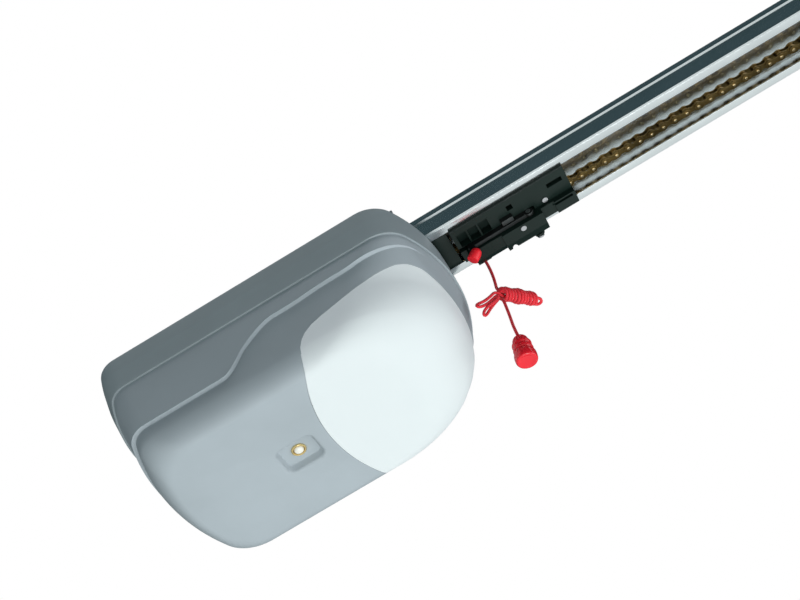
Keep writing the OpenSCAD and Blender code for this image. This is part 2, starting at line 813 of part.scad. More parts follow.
head_hole_dy = 60;
head_hole_dz = 90;
module header_bracket() {
    x1 = pin_x + 42;
    color([0.76, 0.77, 0.79]) difference() {
        union() {
            box([x1, -46, pin_z - 58], [x1 + 3, 46, pin_z + 58]);
            for (s = [-1, 1]) translate([0, s * (ear_y + 6.5), 0]) {
                box([pin_x, -1.5, pin_z - 14], [x1 + e, 1.5, pin_z + 14]);
                translate([pin_x, 0, pin_z]) rod_y(14, -1.5, 1.5);
            }
        }
        translate([pin_x, 0, pin_z]) rod_y(4 + run_gap, -80, 80);
        for (sy = [-1, 1], sz = [-1, 1])
            translate([0, sy * head_hole_dy / 2, pin_z + sz * head_hole_dz / 2])
                rod_x(4, x1 - 5, x1 + 10);
    }
}

// ---------- trolley ----------
// Section of the wing under the rail's lip, as [y, z]: low is its underside, y1 its outer edge.
function wing(y1, low) = [
    [wing_y0, plate_low + e], [wing_y0, low], [slot_y, low], [y1, low + 4], [y1, top_z - 1],
    [slot_y, top_z - 1], [slot_y, plate_low + 4]];

module trolley_body() {
    color([0.10, 0.14, 0.13]) difference() {
        union() {
            box([trolley_x0, -slot_y, plate_low], [trolley_x1, slot_y, plate_top]);
            run_x(wing(wing_y1 - 3, wing_low + 1), nose_x0, nose_x1 + 3);
            run_x(wing(wing_y1, wing_low - 1), block_x0, block_x1);
            run_x(wing(wing_y1 - 8, wing_low + 5), block_x1 - 1, heel_x0 + 1);
            run_x(wing(wing_y1 - 6, wing_low + 3), heel_x0, trolley_x1);
        }
        // nose chamfer in plan
        translate([nose_x0, wing_y1 - 3, 0]) rotate(45)
            box([-6, -6, wing_low - 10], [6, 6, top_z - 0.5]);
        // ribbed window beside the lever channel
        for (i = [0:2]) box([trolley_x0 + 4 + 11.5 * i, -14, plate_low - 1],
                            [trolley_x0 + 14 + 11.5 * i, 1.5, plate_top - 3]);
        // channel for the latch arm, open below and towards the nose
        box([trolley_x0 - 1, 2, wing_low - 10], [pivot_x + 7, 6.9, plate_top - 3]);
        // latch shaft, open to that channel
        box([latch_x - 6.4, -4.4, plate_low - 20], [latch_x + 6.4, 2 + e, plate_top + 1]);
        // sight hole and slot through the plate
        box([trolley_x0 + 57.5, -14, plate_low - 1], [trolley_x0 + 63.5, -8, plate_top + 1]);
        box([trolley_x0 + 100, -12, plate_low - 1], [trolley_x0 + 116, -7, plate_top + 1]);
        // long recess over the heel
        box([heel_x0 - 2, 8.5, wing_low - 5], [trolley_x1 - 3, 11.5, wing_low + 6]);
        translate([pivot_x, 0, pivot_z]) rod_y(pin_r + run_gap, 0, rail_w);
        translate([arm_x, 0, arm_z]) rod_y(arm_bore_d / 2, wing_y0 + 0.5, rail_w);
        for (p = trolley_screw_places()) translate(p) cyl(1.8, plate_low - 20, plate_top + 1);
    }
}

function trolley_screw_places() = [[trolley_x0 + 62.5, 11], [trolley_x0 + 93, 3]];

module trolley_glides() {
    color([0.86, 0.86, 0.84]) for (x = [trolley_x0 + 6, trolley_x1 - 36], s = [-1, 1])
        box([x, s > 0 ? slot_y : -rail_w / 2 + 4.2, top_z + rail_t + 0.3],
            [x + 30, s > 0 ? rail_w / 2 - 4.2 : -slot_y, plate_top]);
}

module trolley_screws() {
    color([0.80, 0.80, 0.80]) for (p = trolley_screw_places()) {
        low = p[1] > wing_y0 ? wing_low - 1 : plate_low;
        translate(p) {
            cyl(1.77, low - 0.5, plate_top);
            cyl(2.8, low - 1.2, low - 0.02);
        }
    }
}

// Carrier that the chain is joined to, with the slot that the latch drops into.
module chain_connector() {
    gap = 0.5;
    color([0.30, 0.31, 0.32]) difference() {
        box([latch_x - 20, -9, plate_top + 0.3], [latch_x + 20, pitch_r + 7.5, chain_z + 8.5]);
        box([latch_x - 30, pitch_r - band_w / 2 - gap, chain_z - band_out - gap],
            [latch_x + 30, pitch_r + band_w / 2 + gap, chain_z + band_out + gap]);
        box([latch_x - 30, -40, chain_z - band_out - gap + 6],
            [latch_x + 30, pitch_r - band_w, chain_z + 20]);
        box([latch_x - 6.5, -4.5, plate_top - 1], [latch_x + 6.5, 1.6, chain_z + 20]);
    }
}

module latch() {
    color([0.62, 0.63, 0.65]) {
        box([latch_x - 6, -4, plate_low - 5], [latch_x + 6, 1.1, plate_top + 5]);
        translate([latch_x, 0, pivot_z]) rod_y(1.2, 1, 6);
    }
}

// ---------- release ----------
module release_lever() {
    color([0.84, 0.11, 0.16]) difference() {
        union() {
            box([cord_x - 7, lever_y0, lever_low], [cord_x + 7, lever_y0 + 5, lever_top]);
            box([cord_x, lever_y0, lever_low], [pivot_x + 5, lever_y0 + 3, lever_low + 5]);
            box([pivot_x - 5, lever_y0, pivot_z], [pivot_x + 5, lever_y0 + 3, lever_low + e]);
            translate([pivot_x, 0, pivot_z]) rod_y(5, lever_y0, lever_y0 + 3);
        }
        translate([pivot_x, 0, pivot_z]) rod_y(pin_r, 0, 60);
        box([cord_x - 3.6, cord_y - 1.9, lever_low - 5], [cord_x + 3.6, cord_y + 1.9, lever_top + 5]);
    }
}

module lever_pin() {
    color([0.72, 0.72, 0.74]) translate([pivot_x, 0, pivot_z]) rod_y(pin_r, 2.4, lever_y0 + 7);
}

module lever_spring() {
    color([0.72, 0.72, 0.74]) translate([pivot_x, lever_y0 + 3, pivot_z]) rotate([-90, 0, 0])
        difference() {
            cyl(3.6, 0, 3);
            cyl(pin_r + 0.3, -1, 4);
        }
}

// Arm inside the trolley, on the same pin as the lever.
module latch_arm() {
    color([0.22, 0.24, 0.24]) difference() {
        union() {
            translate([pivot_x, 0, pivot_z]) rod_y(4.6, 2.5, 6.4);
            box([knob_x - 4, 2.5, pivot_z - 3], [pivot_x, 6.4, pivot_z + 3]);
            box([knob_x - 3, 2.5, knob_z], [knob_x + 3, 6.4, pivot_z]);
        }
        translate([pivot_x, 0, pivot_z]) rod_y(pin_r, -10, 60);
        box([latch_x - 3, 0, pivot_z - 1.7], [latch_x + 1.8, 10, pivot_z + 1.7]);
    }
}

module release_knob() {
    color([0.84, 0.11, 0.16]) translate([knob_x, 4.4, knob_z]) rotate([0, 225, 0]) {
        cyl(5.4, 0, 8);
        sphere(r = 5.4);
    }
}

module cord_knot() {
    color([0.86, 0.10, 0.16]) translate([cord_x, cord_y, knot_z + 3.2]) difference() {
        sphere(r = 3.2);
        cyl(10, -10, -2.9);
    }
}

module cord_upper() {
    color([0.86, 0.10, 0.16]) translate([cord_x, cord_y, 0])
        tube([for (i = [len(upper_route) - 1:-1:0]) upper_route[i]], cord_d / 2);
}

module cord_lower() {
    color([0.86, 0.10, 0.16]) translate([cord_x, cord_y, 0])
        tube([for (i = [len(lower_route) - 1:-1:0]) lower_route[i]], cord_d / 2);
}

// Outer shape of the wound cord: a level bar of turns, and a drooping tail of folded runs.
module cord_hank() {
    mid = (hank_top + hank_low) / 2;
    color([0.86, 0.10, 0.16]) translate([cord_x + hank_at[0], cord_y + hank_at[1], 0]) {
        rotate(hank_turn) rotate([90, 0, 0]) translate([0, 0, -7.5]) linear_extrude(15) {
            translate([-1, mid]) circle(r = 8);
            translate([38, mid]) circle(r = 8);
            translate([-1, hank_low]) square([39, 16]);
        }
        rotate(tail_turn) rotate([90, 0, 0]) translate([0, 0, -6]) linear_extrude(12)
            translate([0, mid]) rotate(-38) translate([0, -6.5]) square([33, 13]);
    }
}

module pull_handle() {
    r = handle_d / 2;
    h = handle_h;
    color([0.86, 0.12, 0.17]) translate([cord_x + handle_at[0], cord_y + handle_at[1], handle_top - h])
        rotate_extrude()
        polygon(concat(
            [[0, 0], [r - 1, 0], [r, 1.5], [r, 0.24 * h], [r - 1.2, 0.31 * h], [r - 3, 0.36 * h]],
            arc([r - 3, 0.47 * h], 0.1 * h, -90, 90, 8),
            arc([r - 4, 0.69 * h], 0.1 * h, -90, 90, 8),
            [[r - 5, 0.82 * h], [r - 6.5, 0.94 * h], [r - 8.5, h], [0, h]]));
}

upper_housing();
lower_cover();
lamp_lens();
chassis_plate();
chassis_screws();
cover_screws();
cable_gland();
button_bezel();
push_button();
button_spring();
circuit_board();
board_parts();
terminal_block();
transformer();
motor_can();
motor_end_cap();
motor_shaft();
speed_disc();
gearbox_housing();
gearbox_lid();
worm_wheel();
output_shaft();
shaft_bearings();
drive_sprocket();
lamp_holder();
lamp_bulb();
ceiling_plate();
rail_clamp();
spacer_tubes();
clamp_bolts();
rail();
chain();
stop_rear();
stop_front();
idler_sprocket();
idler_axle();
idler_fork();
rail_end_bracket();
end_bracket_bolts();
tension_bolt();
tension_spring();
tension_nut();
header_pin();
header_bracket();
trolley_body();
trolley_glides();
trolley_screws();
chain_connector();
latch();
release_lever();
lever_pin();
lever_spring();
latch_arm();
release_knob();
cord_knot();
cord_upper();
cord_hank();
cord_lower();
pull_handle();
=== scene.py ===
# %% [markdown]
# # A garage door opener, seen from below
#
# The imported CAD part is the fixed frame: it says where every piece is and which body carries it.
# This lesson dresses that frame. It sets the camera and the light, winds the release cord, models
# the skins that are seen, and gives every piece a finish. All sizes are in metres.

# %% Load the frame
import json
import math
import bpy
import bmesh
from mathutils import Matrix, Vector


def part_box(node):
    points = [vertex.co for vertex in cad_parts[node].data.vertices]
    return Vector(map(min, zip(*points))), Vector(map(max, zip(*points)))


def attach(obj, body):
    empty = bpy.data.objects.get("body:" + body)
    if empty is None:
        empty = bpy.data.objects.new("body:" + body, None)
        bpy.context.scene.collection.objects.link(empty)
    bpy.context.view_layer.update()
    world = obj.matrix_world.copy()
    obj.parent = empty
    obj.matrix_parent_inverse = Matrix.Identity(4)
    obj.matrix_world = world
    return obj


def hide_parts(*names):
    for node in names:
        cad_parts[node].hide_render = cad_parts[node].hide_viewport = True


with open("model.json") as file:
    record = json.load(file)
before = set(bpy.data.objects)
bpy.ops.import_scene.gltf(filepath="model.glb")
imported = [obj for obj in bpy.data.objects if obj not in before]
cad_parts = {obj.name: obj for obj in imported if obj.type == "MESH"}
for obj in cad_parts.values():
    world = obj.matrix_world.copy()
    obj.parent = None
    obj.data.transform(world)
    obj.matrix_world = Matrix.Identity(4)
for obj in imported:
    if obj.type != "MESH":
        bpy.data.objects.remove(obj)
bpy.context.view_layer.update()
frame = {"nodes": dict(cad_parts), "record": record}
nodes = frame["nodes"]

# %% [markdown]
# ## Landmarks
# The pieces share a few levels and lines. They are read from the CAD boxes where a box tells them,
# so that the looks stay in step with the solids.

# %% Landmarks
MM = 0.001
head_low, head_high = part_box("upper_housing")
head_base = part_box("lower_cover")[0].z
chain_low, chain_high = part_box("chain")
CHAIN_Z = (chain_low.z + chain_high.z) / 2
SPROCKET_TEETH = 8
PITCH = 12.7 * MM
PITCH_R = PITCH / 2 / math.sin(math.pi / SPROCKET_TEETH)
print("head top and base", round(head_high.z, 4), round(head_base, 4))

# %% [markdown]
# ## Camera
# The camera stands below the opener and a little to one side, and looks up, with a long lens so
# that the rail hardly narrows as it runs away. It is rolled, so the rail climbs to the right.
# The three directions of the camera are worked out from compass angle, height and roll.

# %% Camera
def camera_axes(azimuth, elevation, roll):
    a, e, r = (math.radians(v) for v in (azimuth, elevation, roll))
    back = Vector((math.sin(a) * math.cos(e), -math.cos(a) * math.cos(e), math.sin(e)))
    right = (-back).cross(Vector((0, 0, 1))).normalized()
    up = right.cross(-back)
    return (math.cos(r) * right + math.sin(r) * up, math.cos(r) * up - math.sin(r) * right, back)

AZIMUTH, ELEVATION, ROLL = 6.26, -47.37, -26.22
CAMERA_AT = (0.2209, -0.8253, -0.9582)
right, up, back = camera_axes(AZIMUTH, ELEVATION, ROLL)
camera_data = bpy.data.cameras.new("camera")
camera_data.lens = 59.2
camera_data.sensor_width = 36
camera_data.clip_end = 50
camera = bpy.data.objects.new("camera", camera_data)
bpy.context.scene.collection.objects.link(camera)
place = Matrix.Identity(4)
for row in range(3):
    place[row][0], place[row][1], place[row][2] = right[row], up[row], back[row]
place.translation = Vector(CAMERA_AT)
camera.matrix_world = place
bpy.context.scene.camera = camera
print("camera at", [round(v, 3) for v in camera.location])

# %% [markdown]
# ## Light
# The opener hangs, so its underside is what people see. One large soft light stands straight below
# and lights the base and the lens, and a second, low in front, lights the bowed front. The side
# towards the camera gets only what the floor throws back, which is why it reads darker. The room
# is dark round about and the floor pale, so plated metal shows dark bands between bright ones. A
# light above serves the top and the floor. The camera itself sees a plain white room.

# %% Light
def soft_light(name, at, aim, size, power, colour=(1, 1, 1)):
    data = bpy.data.lights.new(name, "AREA")
    data.shape, data.size, data.energy, data.color = "DISK", size, power, colour
    lamp = bpy.data.objects.new(name, data)
    bpy.context.scene.collection.objects.link(lamp)
    lamp.location = at
    lamp.rotation_euler = (Vector(aim) - Vector(at)).to_track_quat("-Z", "Y").to_euler()
    lamp.visible_camera = False
    return lamp

soft_light("key_below", (0.20, -0.10, -2.0), (0.1, 0.0, -0.15), 1.1, 14.5, (0.98, 1.0, 1.0))
soft_light("front_low", (1.60, 0.10, -0.75), (0.1, 0.0, -0.10), 1.5, 8, (0.96, 0.95, 1.0))
soft_light("room_above", (0.2, -0.4, 2.2), (0.2, 0, 0), 2.6, 38)
soft_light("blue_side", (-0.5, -1.7, 0.7), (0, 0, -0.05), 0.8, 2.0, (0.72, 0.86, 1.0))
for unseen in ("room_above", "blue_side"):
    bpy.data.objects[unseen].visible_glossy = False

world = bpy.data.worlds.new("pale_room")
bpy.context.scene.world = world
world.use_nodes = True
wn, wl = world.node_tree.nodes, world.node_tree.links
sky_where, sky_split = wn.new("ShaderNodeTexCoord"), wn.new("ShaderNodeSeparateXYZ")
sky_height, sky = wn.new("ShaderNodeMapRange"), wn.new("ShaderNodeValToRGB")
sky_height.inputs["From Min"].default_value = -1.0
for at, colour in ((0.20, (0.80, 0.85, 0.86)), (0.36, (0.035, 0.055, 0.055)),
                   (0.60, (0.035, 0.060, 0.065)), (0.90, (0.045, 0.075, 0.085))):
    element = sky.color_ramp.elements.new(at)
    element.color = (*colour, 1)
for end in (sky.color_ramp.elements[-1], sky.color_ramp.elements[0]):
    sky.color_ramp.elements.remove(end)
wl.new(sky_where.outputs["Generated"], sky_split.inputs[0])
wl.new(sky_split.outputs["Z"], sky_height.inputs["Value"])
wl.new(sky_height.outputs["Result"], sky.inputs["Fac"])
wl.new(sky.outputs["Color"], wn["Background"].inputs["Color"])
wn["Background"].inputs["Strength"].default_value = 0.9
seen = wn.new("ShaderNodeBackground")
seen.inputs["Color"].default_value = (1, 1, 1, 1)
seen.inputs["Strength"].default_value = 1.0
which = wn.new("ShaderNodeLightPath")
either = wn.new("ShaderNodeMixShader")
wl.new(which.outputs["Is Camera Ray"], either.inputs[0])
wl.new(wn["Background"].outputs[0], either.inputs[1])
wl.new(seen.outputs[0], either.inputs[2])
wl.new(either.outputs[0], wn["World Output"].inputs["Surface"])
bpy.context.scene.view_settings.view_transform = "Standard"
print(len(bpy.data.lights), "lights and a room")

# %% [markdown]
# ## Small helpers
# Modelling by hand means: select, act, check. These helpers start a piece with nothing else
# selected, pick points by a rule, and hand a finished piece to its body with its finish.

# %% Helpers for selecting and finishing
def select_only(*pieces):
    if bpy.context.object and bpy.context.object.mode != "OBJECT":
        bpy.ops.object.mode_set(mode="OBJECT")
    bpy.ops.object.select_all(action="DESELECT")
    for piece in pieces:
        piece.select_set(True)
    if pieces:
        bpy.context.view_layer.objects.active = pieces[0]

def rename(name):
    piece = bpy.context.object
    piece.name = piece.data.name = name
    return piece

def settle(piece):
    """Puts the piece's place, turn and size into its mesh."""
    select_only(piece)
    bpy.ops.object.transform_apply(location=True, rotation=True, scale=True)
    return piece

def add_modifier(piece, kind, **values):
    modifier = piece.modifiers.new(kind.lower(), kind)
    for key, value in values.items():
        setattr(modifier, key, value)
    return modifier

def apply_all(piece):
    select_only(piece)
    for modifier in list(piece.modifiers):
        bpy.ops.object.modifier_apply(modifier=modifier.name)
    return piece

def cut(piece, tool, how="DIFFERENCE"):
    """A boolean with another closed piece, applied at once. The other piece is used up."""
    add_modifier(piece, "BOOLEAN", operation=how, object=tool, solver="MANIFOLD")
    apply_all(piece)
    bpy.data.objects.remove(tool)
    return piece

def smooth(piece, degrees=35):
    select_only(piece)
    bpy.ops.object.shade_smooth_by_angle(angle=math.radians(degrees))
    return piece

def join(name, pieces):
    select_only(*pieces)
    if len(pieces) > 1:
        bpy.ops.object.join()
    return rename(name)

def faces_out(piece):
    select_only(piece)
    bpy.ops.object.mode_set(mode="EDIT")
    bpy.ops.mesh.select_all(action="SELECT")
    bpy.ops.mesh.remove_doubles(threshold=1e-6)
    bpy.ops.mesh.normals_make_consistent(inside=False)
    bpy.ops.object.mode_set(mode="OBJECT")
    return piece

def hand_over(piece, body, slot, finish, *stands_for):
    piece.data.materials.clear()
    piece.data.materials.append(finish)
    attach(piece, body)
    if stands_for:
        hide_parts(*stands_for)
    print("made", piece.name, "with", len(getattr(piece.data, "polygons", [])), "faces")
    return piece

def block(name, low, high):
    """A box between two corners."""
    select_only()
    middle = [(a + b) / 2 for a, b in zip(low, high)]
    bpy.ops.mesh.primitive_cube_add(size=1, location=middle)
    piece = rename(name)
    piece.scale = [b - a for a, b in zip(low, high)]
    return settle(piece)

def bar(name, radius, start, end, sides=32, bevel=0.0):
    """A round bar between two points, with its ends eased."""
    select_only()
    a, b = Vector(start), Vector(end)
    bpy.ops.mesh.primitive_cylinder_add(vertices=sides, radius=radius, depth=(b - a).length,
                                        location=(a + b) / 2)
    piece = rename(name)
    piece.rotation_euler = (b - a).to_track_quat("Z", "Y").to_euler()
    settle(piece)
    if bevel:
        add_modifier(piece, "BEVEL", width=bevel, segments=2, limit_method="ANGLE",
                     angle_limit=math.radians(50))
        apply_all(piece)
    return piece

def prism(name, outline, axis, start, end):
    """A closed outline, run along one axis; it gives the other two coordinates in order."""
    select_only()
    bpy.ops.mesh.primitive_circle_add(vertices=len(outline), radius=1, fill_type="NGON")
    piece = rename(name)
    order = {"X": (1, 2), "Y": (0, 2), "Z": (0, 1)}[axis]
    run = "XYZ".index(axis)
    for vertex, (u, v) in zip(piece.data.vertices, outline):
        vertex.co[order[0]], vertex.co[order[1]], vertex.co[run] = u, v, start
    shift = [0, 0, 0]
    shift[run] = end - start
    bpy.ops.object.mode_set(mode="EDIT")
    bpy.ops.mesh.select_all(action="SELECT")
    bpy.ops.mesh.extrude_region_move(TRANSFORM_OT_translate={"value": shift})
    bpy.ops.object.mode_set(mode="OBJECT")
    return faces_out(piece)

def turned(name, profile, at, sides=64):
    """A profile of (radius, height) points, spun round a vertical axis and closed at its poles."""
    select_only()
    bpy.ops.mesh.primitive_plane_add(size=1)
    piece = rename(name)
    shape = bmesh.new()
    line = [shape.verts.new((r, 0, z)) for r, z in profile]
    for a, b in zip(line, line[1:]):
        shape.edges.new((a, b))
    shape.to_mesh(piece.data)
    shape.free()
    bpy.ops.object.mode_set(mode="EDIT")
    bpy.ops.mesh.select_all(action="SELECT")
    bpy.ops.mesh.spin(steps=sides, angle=math.tau, center=(0, 0, 0), axis=(0, 0, 1))
    bpy.ops.object.mode_set(mode="OBJECT")
    faces_out(piece)
    piece.location = at
    return settle(piece)

def curve_through(points, steps=8):
    """A smooth line through given points (Catmull-Rom)."""
    pts = [Vector(p) for p in points]
    pts = [2 * pts[0] - pts[1]] + pts + [2 * pts[-1] - pts[-2]]
    line = []
    for a, b, c, d in zip(pts, pts[1:], pts[2:], pts[3:]):
        for i in range(steps):
            t = i / steps
            line.append(0.5 * (2 * b + (c - a) * t + (2 * a - 5 * b + 4 * c - d) * t * t
                               + (3 * b - 3 * c + d - a) * t ** 3))
    return line + [pts[-2]]

def evened(line, step, passes=2):
    """The same line with its points a step apart, and its small kinks averaged away."""
    points, left = [line[0]], step
    for a, b in zip(line, line[1:]):
        gap = (b - a).length
        while gap > 0 and left <= gap:
            points.append(a + (b - a) * (left / gap))
            left += step
        left -= gap
    points.append(line[-1])
    for _ in range(passes):
        points = ([points[0]] + [(a + 2 * b + c) / 4 for a, b, c in
                                 zip(points, points[1:], points[2:])] + [points[-1]])
    return points

# %% [markdown]
# ## Finishes
# Moulded plastic has a fine spark-eroded grain, slight clouding and a broad sheen. Zinc plate has
# soft spangle and drawn lines along the rail. Each finish is built from noise in object
# coordinates, so it stays put when the piece moves.

# %% Helpers for finishes
def new_finish(name, **sockets):
    material = bpy.data.materials.new(name)
    material.use_nodes = True
    shader = material.node_tree.nodes["Principled BSDF"]
    for key, value in sockets.items():
        shader.inputs[key.replace("_", " ")].default_value = value
    return material, shader

def link(material, source, target):
    material.node_tree.links.new(source, target)

def noise(material, scale, detail=3.0, rough=0.5, stretch=(1, 1, 1)):
    tree = material.node_tree.nodes
    where, mapping, tex = (tree.new("ShaderNodeTexCoord"), tree.new("ShaderNodeMapping"),
                           tree.new("ShaderNodeTexNoise"))
    mapping.inputs["Scale"].default_value = stretch
    tex.inputs["Scale"].default_value = scale
    tex.inputs["Detail"].default_value = detail
    tex.inputs["Roughness"].default_value = rough
    link(material, where.outputs["Object"], mapping.inputs["Vector"])
    link(material, mapping.outputs["Vector"], tex.inputs["Vector"])
    return tex.outputs["Fac"]

def ramp(material, source, stops):
    node = material.node_tree.nodes.new("ShaderNodeValToRGB")
    while len(node.color_ramp.elements) < len(stops):
        node.color_ramp.elements.new(0.5)
    for element, (position, colour) in zip(node.color_ramp.elements, stops):
        element.position = position
        element.color = (*colour, 1)
    link(material, source, node.inputs["Fac"])
    return node.outputs["Color"]

def spread(material, source, low, high):
    node = material.node_tree.nodes.new("ShaderNodeMapRange")
    node.inputs["To Min"].default_value = low
    node.inputs["To Max"].default_value = high
    link(material, source, node.inputs["Value"])
    return node.outputs["Result"]

def bumps(material, shader, *layers):
    """Each layer is (source, strength, distance); they are chained onto the shader's normal."""
    before = None
    for source, strength, distance in layers:
        node = material.node_tree.nodes.new("ShaderNodeBump")
        node.inputs["Strength"].default_value = strength
        node.inputs["Distance"].default_value = distance
        link(material, source, node.inputs["Height"])
        if before:
            link(material, before, node.inputs["Normal"])
        before = node.outputs["Normal"]
    link(material, before, shader.inputs["Normal"])

def tint(colour, by):
    return tuple(min(1.0, max(0.0, c * by)) for c in colour)

def moulded(name, colour, roughness=0.5, grain=0.06, grain_scale=1400, cloud=0.05, wax_and_painted_glow=0.0,
            shine=0.5):
    material, shader = new_finish(name, IOR=1.5)
    shader.inputs["Specular IOR Level"].default_value = shine
    clouding = noise(material, 9, 4, 0.6)
    link(material, ramp(material, clouding, [(0.3, tint(colour, 1 - cloud)),
                                             (0.7, tint(colour, 1 + cloud))]),
         shader.inputs["Base Color"])
    fine = noise(material, grain_scale, 2, 0.5)
    patch = noise(material, 30, 3, 0.6)
    link(material, spread(material, patch, roughness - 0.06, roughness + 0.06),
         shader.inputs["Roughness"])
    bumps(material, shader, (fine, grain, 0.0002), (patch, 0.02, 0.0005))
    if wax_and_painted_glow:
        # painted glow: a faint emission that evens out the lens's shading, though its lamp is off
        shader.inputs["Emission Color"].default_value = (0.85, 0.88, 1.0, 1)
        shader.inputs["Emission Strength"].default_value = 0.16
        shader.inputs["Subsurface Weight"].default_value = wax_and_painted_glow
        shader.inputs["Subsurface Radius"].default_value = (0.012, 0.012, 0.012)
    return material

def plated(name, colour, roughness=0.32, along=(0.06, 1, 1), spangle=0.06, grain=0.05, scale=260):
    material, shader = new_finish(name, Metallic=1.0)
    cloud = noise(material, 22, 4, 0.55)
    link(material, ramp(material, cloud, [(0.3, tint(colour, 1 - spangle)),
                                          (0.7, tint(colour, 1 + spangle))]),
         shader.inputs["Base Color"])
    drawn = noise(material, scale, 3, 0.6, along)
    link(material, spread(material, cloud, roughness - 0.07, roughness + 0.08),
         shader.inputs["Roughness"])
    bumps(material, shader, (drawn, grain, 0.0004))
    return material

# %% [markdown]
# One finish for each material of the object. The milky lens has a faint painted glow that evens out
# its shading, though its lamp is off. The frosted bulb and the braided cord are built by hand.

# %% Finishes
FINISH = {
    "rim": moulded("rim_grey_moulded", (0.30, 0.35, 0.37), 0.55, shine=0.3),
    "cover": moulded("cover_grey_moulded", (0.375, 0.425, 0.455), 0.55, shine=0.3),
    # lens: 0.7 sets the subsurface milkiness and also switches on the painted glow
    "lens": moulded("lens_milk", (0.61, 0.66, 0.65), 0.55, 0.01, 900, 0.005, 0.7, 0.3),
    "black": moulded("trolley_black_nylon", (0.004, 0.013, 0.010), 0.42, 0.08, 1200, 0.25, 0.0,
                     0.28),
    "white": moulded("nylon_white", (0.72, 0.71, 0.66), 0.5, 0.05, 900, 0.03),
    "red": moulded("red_gloss_moulded", (0.80, 0.012, 0.025), 0.16, 0.004, 300, 0.04),
    "knob": moulded("red_satin_moulded", (0.86, 0.012, 0.024), 0.42, 0.01, 500, 0.04),
    "ivory": moulded("button_ivory", (0.85, 0.83, 0.74), 0.25, 0.02, 900, 0.03),
    "board": moulded("board_green", (0.012, 0.11, 0.045), 0.35, 0.10, 500, 0.15),
    "component": moulded("component_black", (0.02, 0.02, 0.024), 0.4, 0.06, 900, 0.2),
    "core": moulded("varnished_core", (0.09, 0.07, 0.055), 0.35, 0.20, 300, 0.2),
    "zinc": plated("zinc_plate", (0.74, 0.77, 0.79), 0.34),
    "rail": plated("rail_zinc", (0.80, 0.84, 0.85), 0.20, (0.02, 1, 1), 0.05, 0.04, 240),
    "steel": plated("bright_steel", (0.60, 0.60, 0.62), 0.28, (1, 1, 1), 0.05, 0.04, 400),
    "dark_steel": plated("oiled_steel", (0.20, 0.20, 0.21), 0.38, (1, 1, 1), 0.12, 0.06, 300),
    "chain": plated("chain_bronze", (0.22, 0.15, 0.055), 0.34, (1, 1, 1), 0.35, 0.08, 500),
    "pin": plated("chain_pin_bright", (0.72, 0.56, 0.30), 0.26, (1, 1, 1), 0.10, 0.04, 500),
    "blackened": plated("blackened_steel", (0.055, 0.06, 0.06), 0.45, (1, 1, 1), 0.15, 0.05, 300),
    "brass": plated("polished_brass", (0.78, 0.60, 0.28), 0.18, (1, 1, 1), 0.06, 0.03, 500),
    "cast": plated("cast_alloy", (0.52, 0.53, 0.54), 0.48, (1, 1, 1), 0.08, 0.25, 350),
}

def bulb_glass():
    material, shader = new_finish("bulb_frosted", IOR=1.45, Transmission_Weight=0.35,
                                  Base_Color=(0.9, 0.88, 0.8, 1))
    frost = noise(material, 200, 3)
    link(material, spread(material, frost, 0.35, 0.55), shader.inputs["Roughness"])
    bumps(material, shader, (frost, 0.05, 0.0003))
    return material

def braid():
    """Braided cord: strands cross on the tube's own map, which runs along and round the cord."""
    material, shader = new_finish("cord_braid", Roughness=0.62, Sheen_Weight=0.25)
    tree = material.node_tree.nodes
    where, mapping = tree.new("ShaderNodeTexCoord"), tree.new("ShaderNodeMapping")
    mapping.inputs["Scale"].default_value = (700, 6, 1)
    link(material, where.outputs["UV"], mapping.inputs["Vector"])
    split = tree.new("ShaderNodeSeparateXYZ")
    link(material, mapping.outputs["Vector"], split.inputs["Vector"])

    def maths(operation, first, second=None):
        node = tree.new("ShaderNodeMath")
        node.operation = operation
        link(material, first, node.inputs[0])
        if isinstance(second, float):
            node.inputs[1].default_value = second
        elif second is not None:
            link(material, second, node.inputs[1])
        return node.outputs[0]

    waves = [maths("SINE", maths("MULTIPLY", maths(sign, split.outputs["X"], split.outputs["Y"]),
                                 math.tau))
             for sign in ("ADD", "SUBTRACT")]
    crossing = maths("MAXIMUM", *waves)
    # painted shade: the red is darker in the grooves between strands and lighter on their tops
    link(material, ramp(material, spread(material, crossing, 0, 1),
                        [(0.0, (0.66, 0.006, 0.016)), (0.7, (0.88, 0.012, 0.032))]),
         shader.inputs["Base Color"])
    bumps(material, shader, (crossing, 0.22, 0.00012))
    return material

FINISH["glass"] = bulb_glass()
FINISH["cord"] = braid()
print(len(FINISH), "finishes")

# %% [markdown]
# ## Release cord
# A 3 mm braided cord leaves a knot on the release lever, runs through a hole beside the trolley,
# is wound into a hank to shorten it, and carries a red bell handle. The hank is made as a person
# makes it: a loop laid along the fingers, the rest turned round it eleven times, and two folds left
# hanging. It is one line, so its length can be measured; the turns come from a short formula, and
# the line is evened out at the end so that no two points lie on top of each other.

# %% Cord
CORD_D = 3 * MM
EXIT = Vector((217, 34.4, -24)) * MM
ALONG = Vector((math.cos(math.radians(50)), math.sin(math.radians(50)), 0))
ACROSS = Vector((-ALONG.y, ALONG.x, 0))
DOWN = Vector((0, 0, -1))
TAIL_HEADING, TAIL_LEVEL, TAIL_DROP = math.radians(205), 0.79, -0.61
TAIL = Vector((math.cos(TAIL_HEADING) * TAIL_LEVEL, math.sin(TAIL_HEADING) * TAIL_LEVEL, TAIL_DROP))
FLARE = TAIL.cross(back).normalized()
HANK = EXIT + Vector((-4, -1.5, -58.5)) * MM

def on_hank(along, across, down):
    return HANK + (ALONG * along + ACROSS * across + DOWN * down) * MM

def on_tail(out, across, down):
    return HANK + (TAIL * out + FLARE * across + back * down) * MM

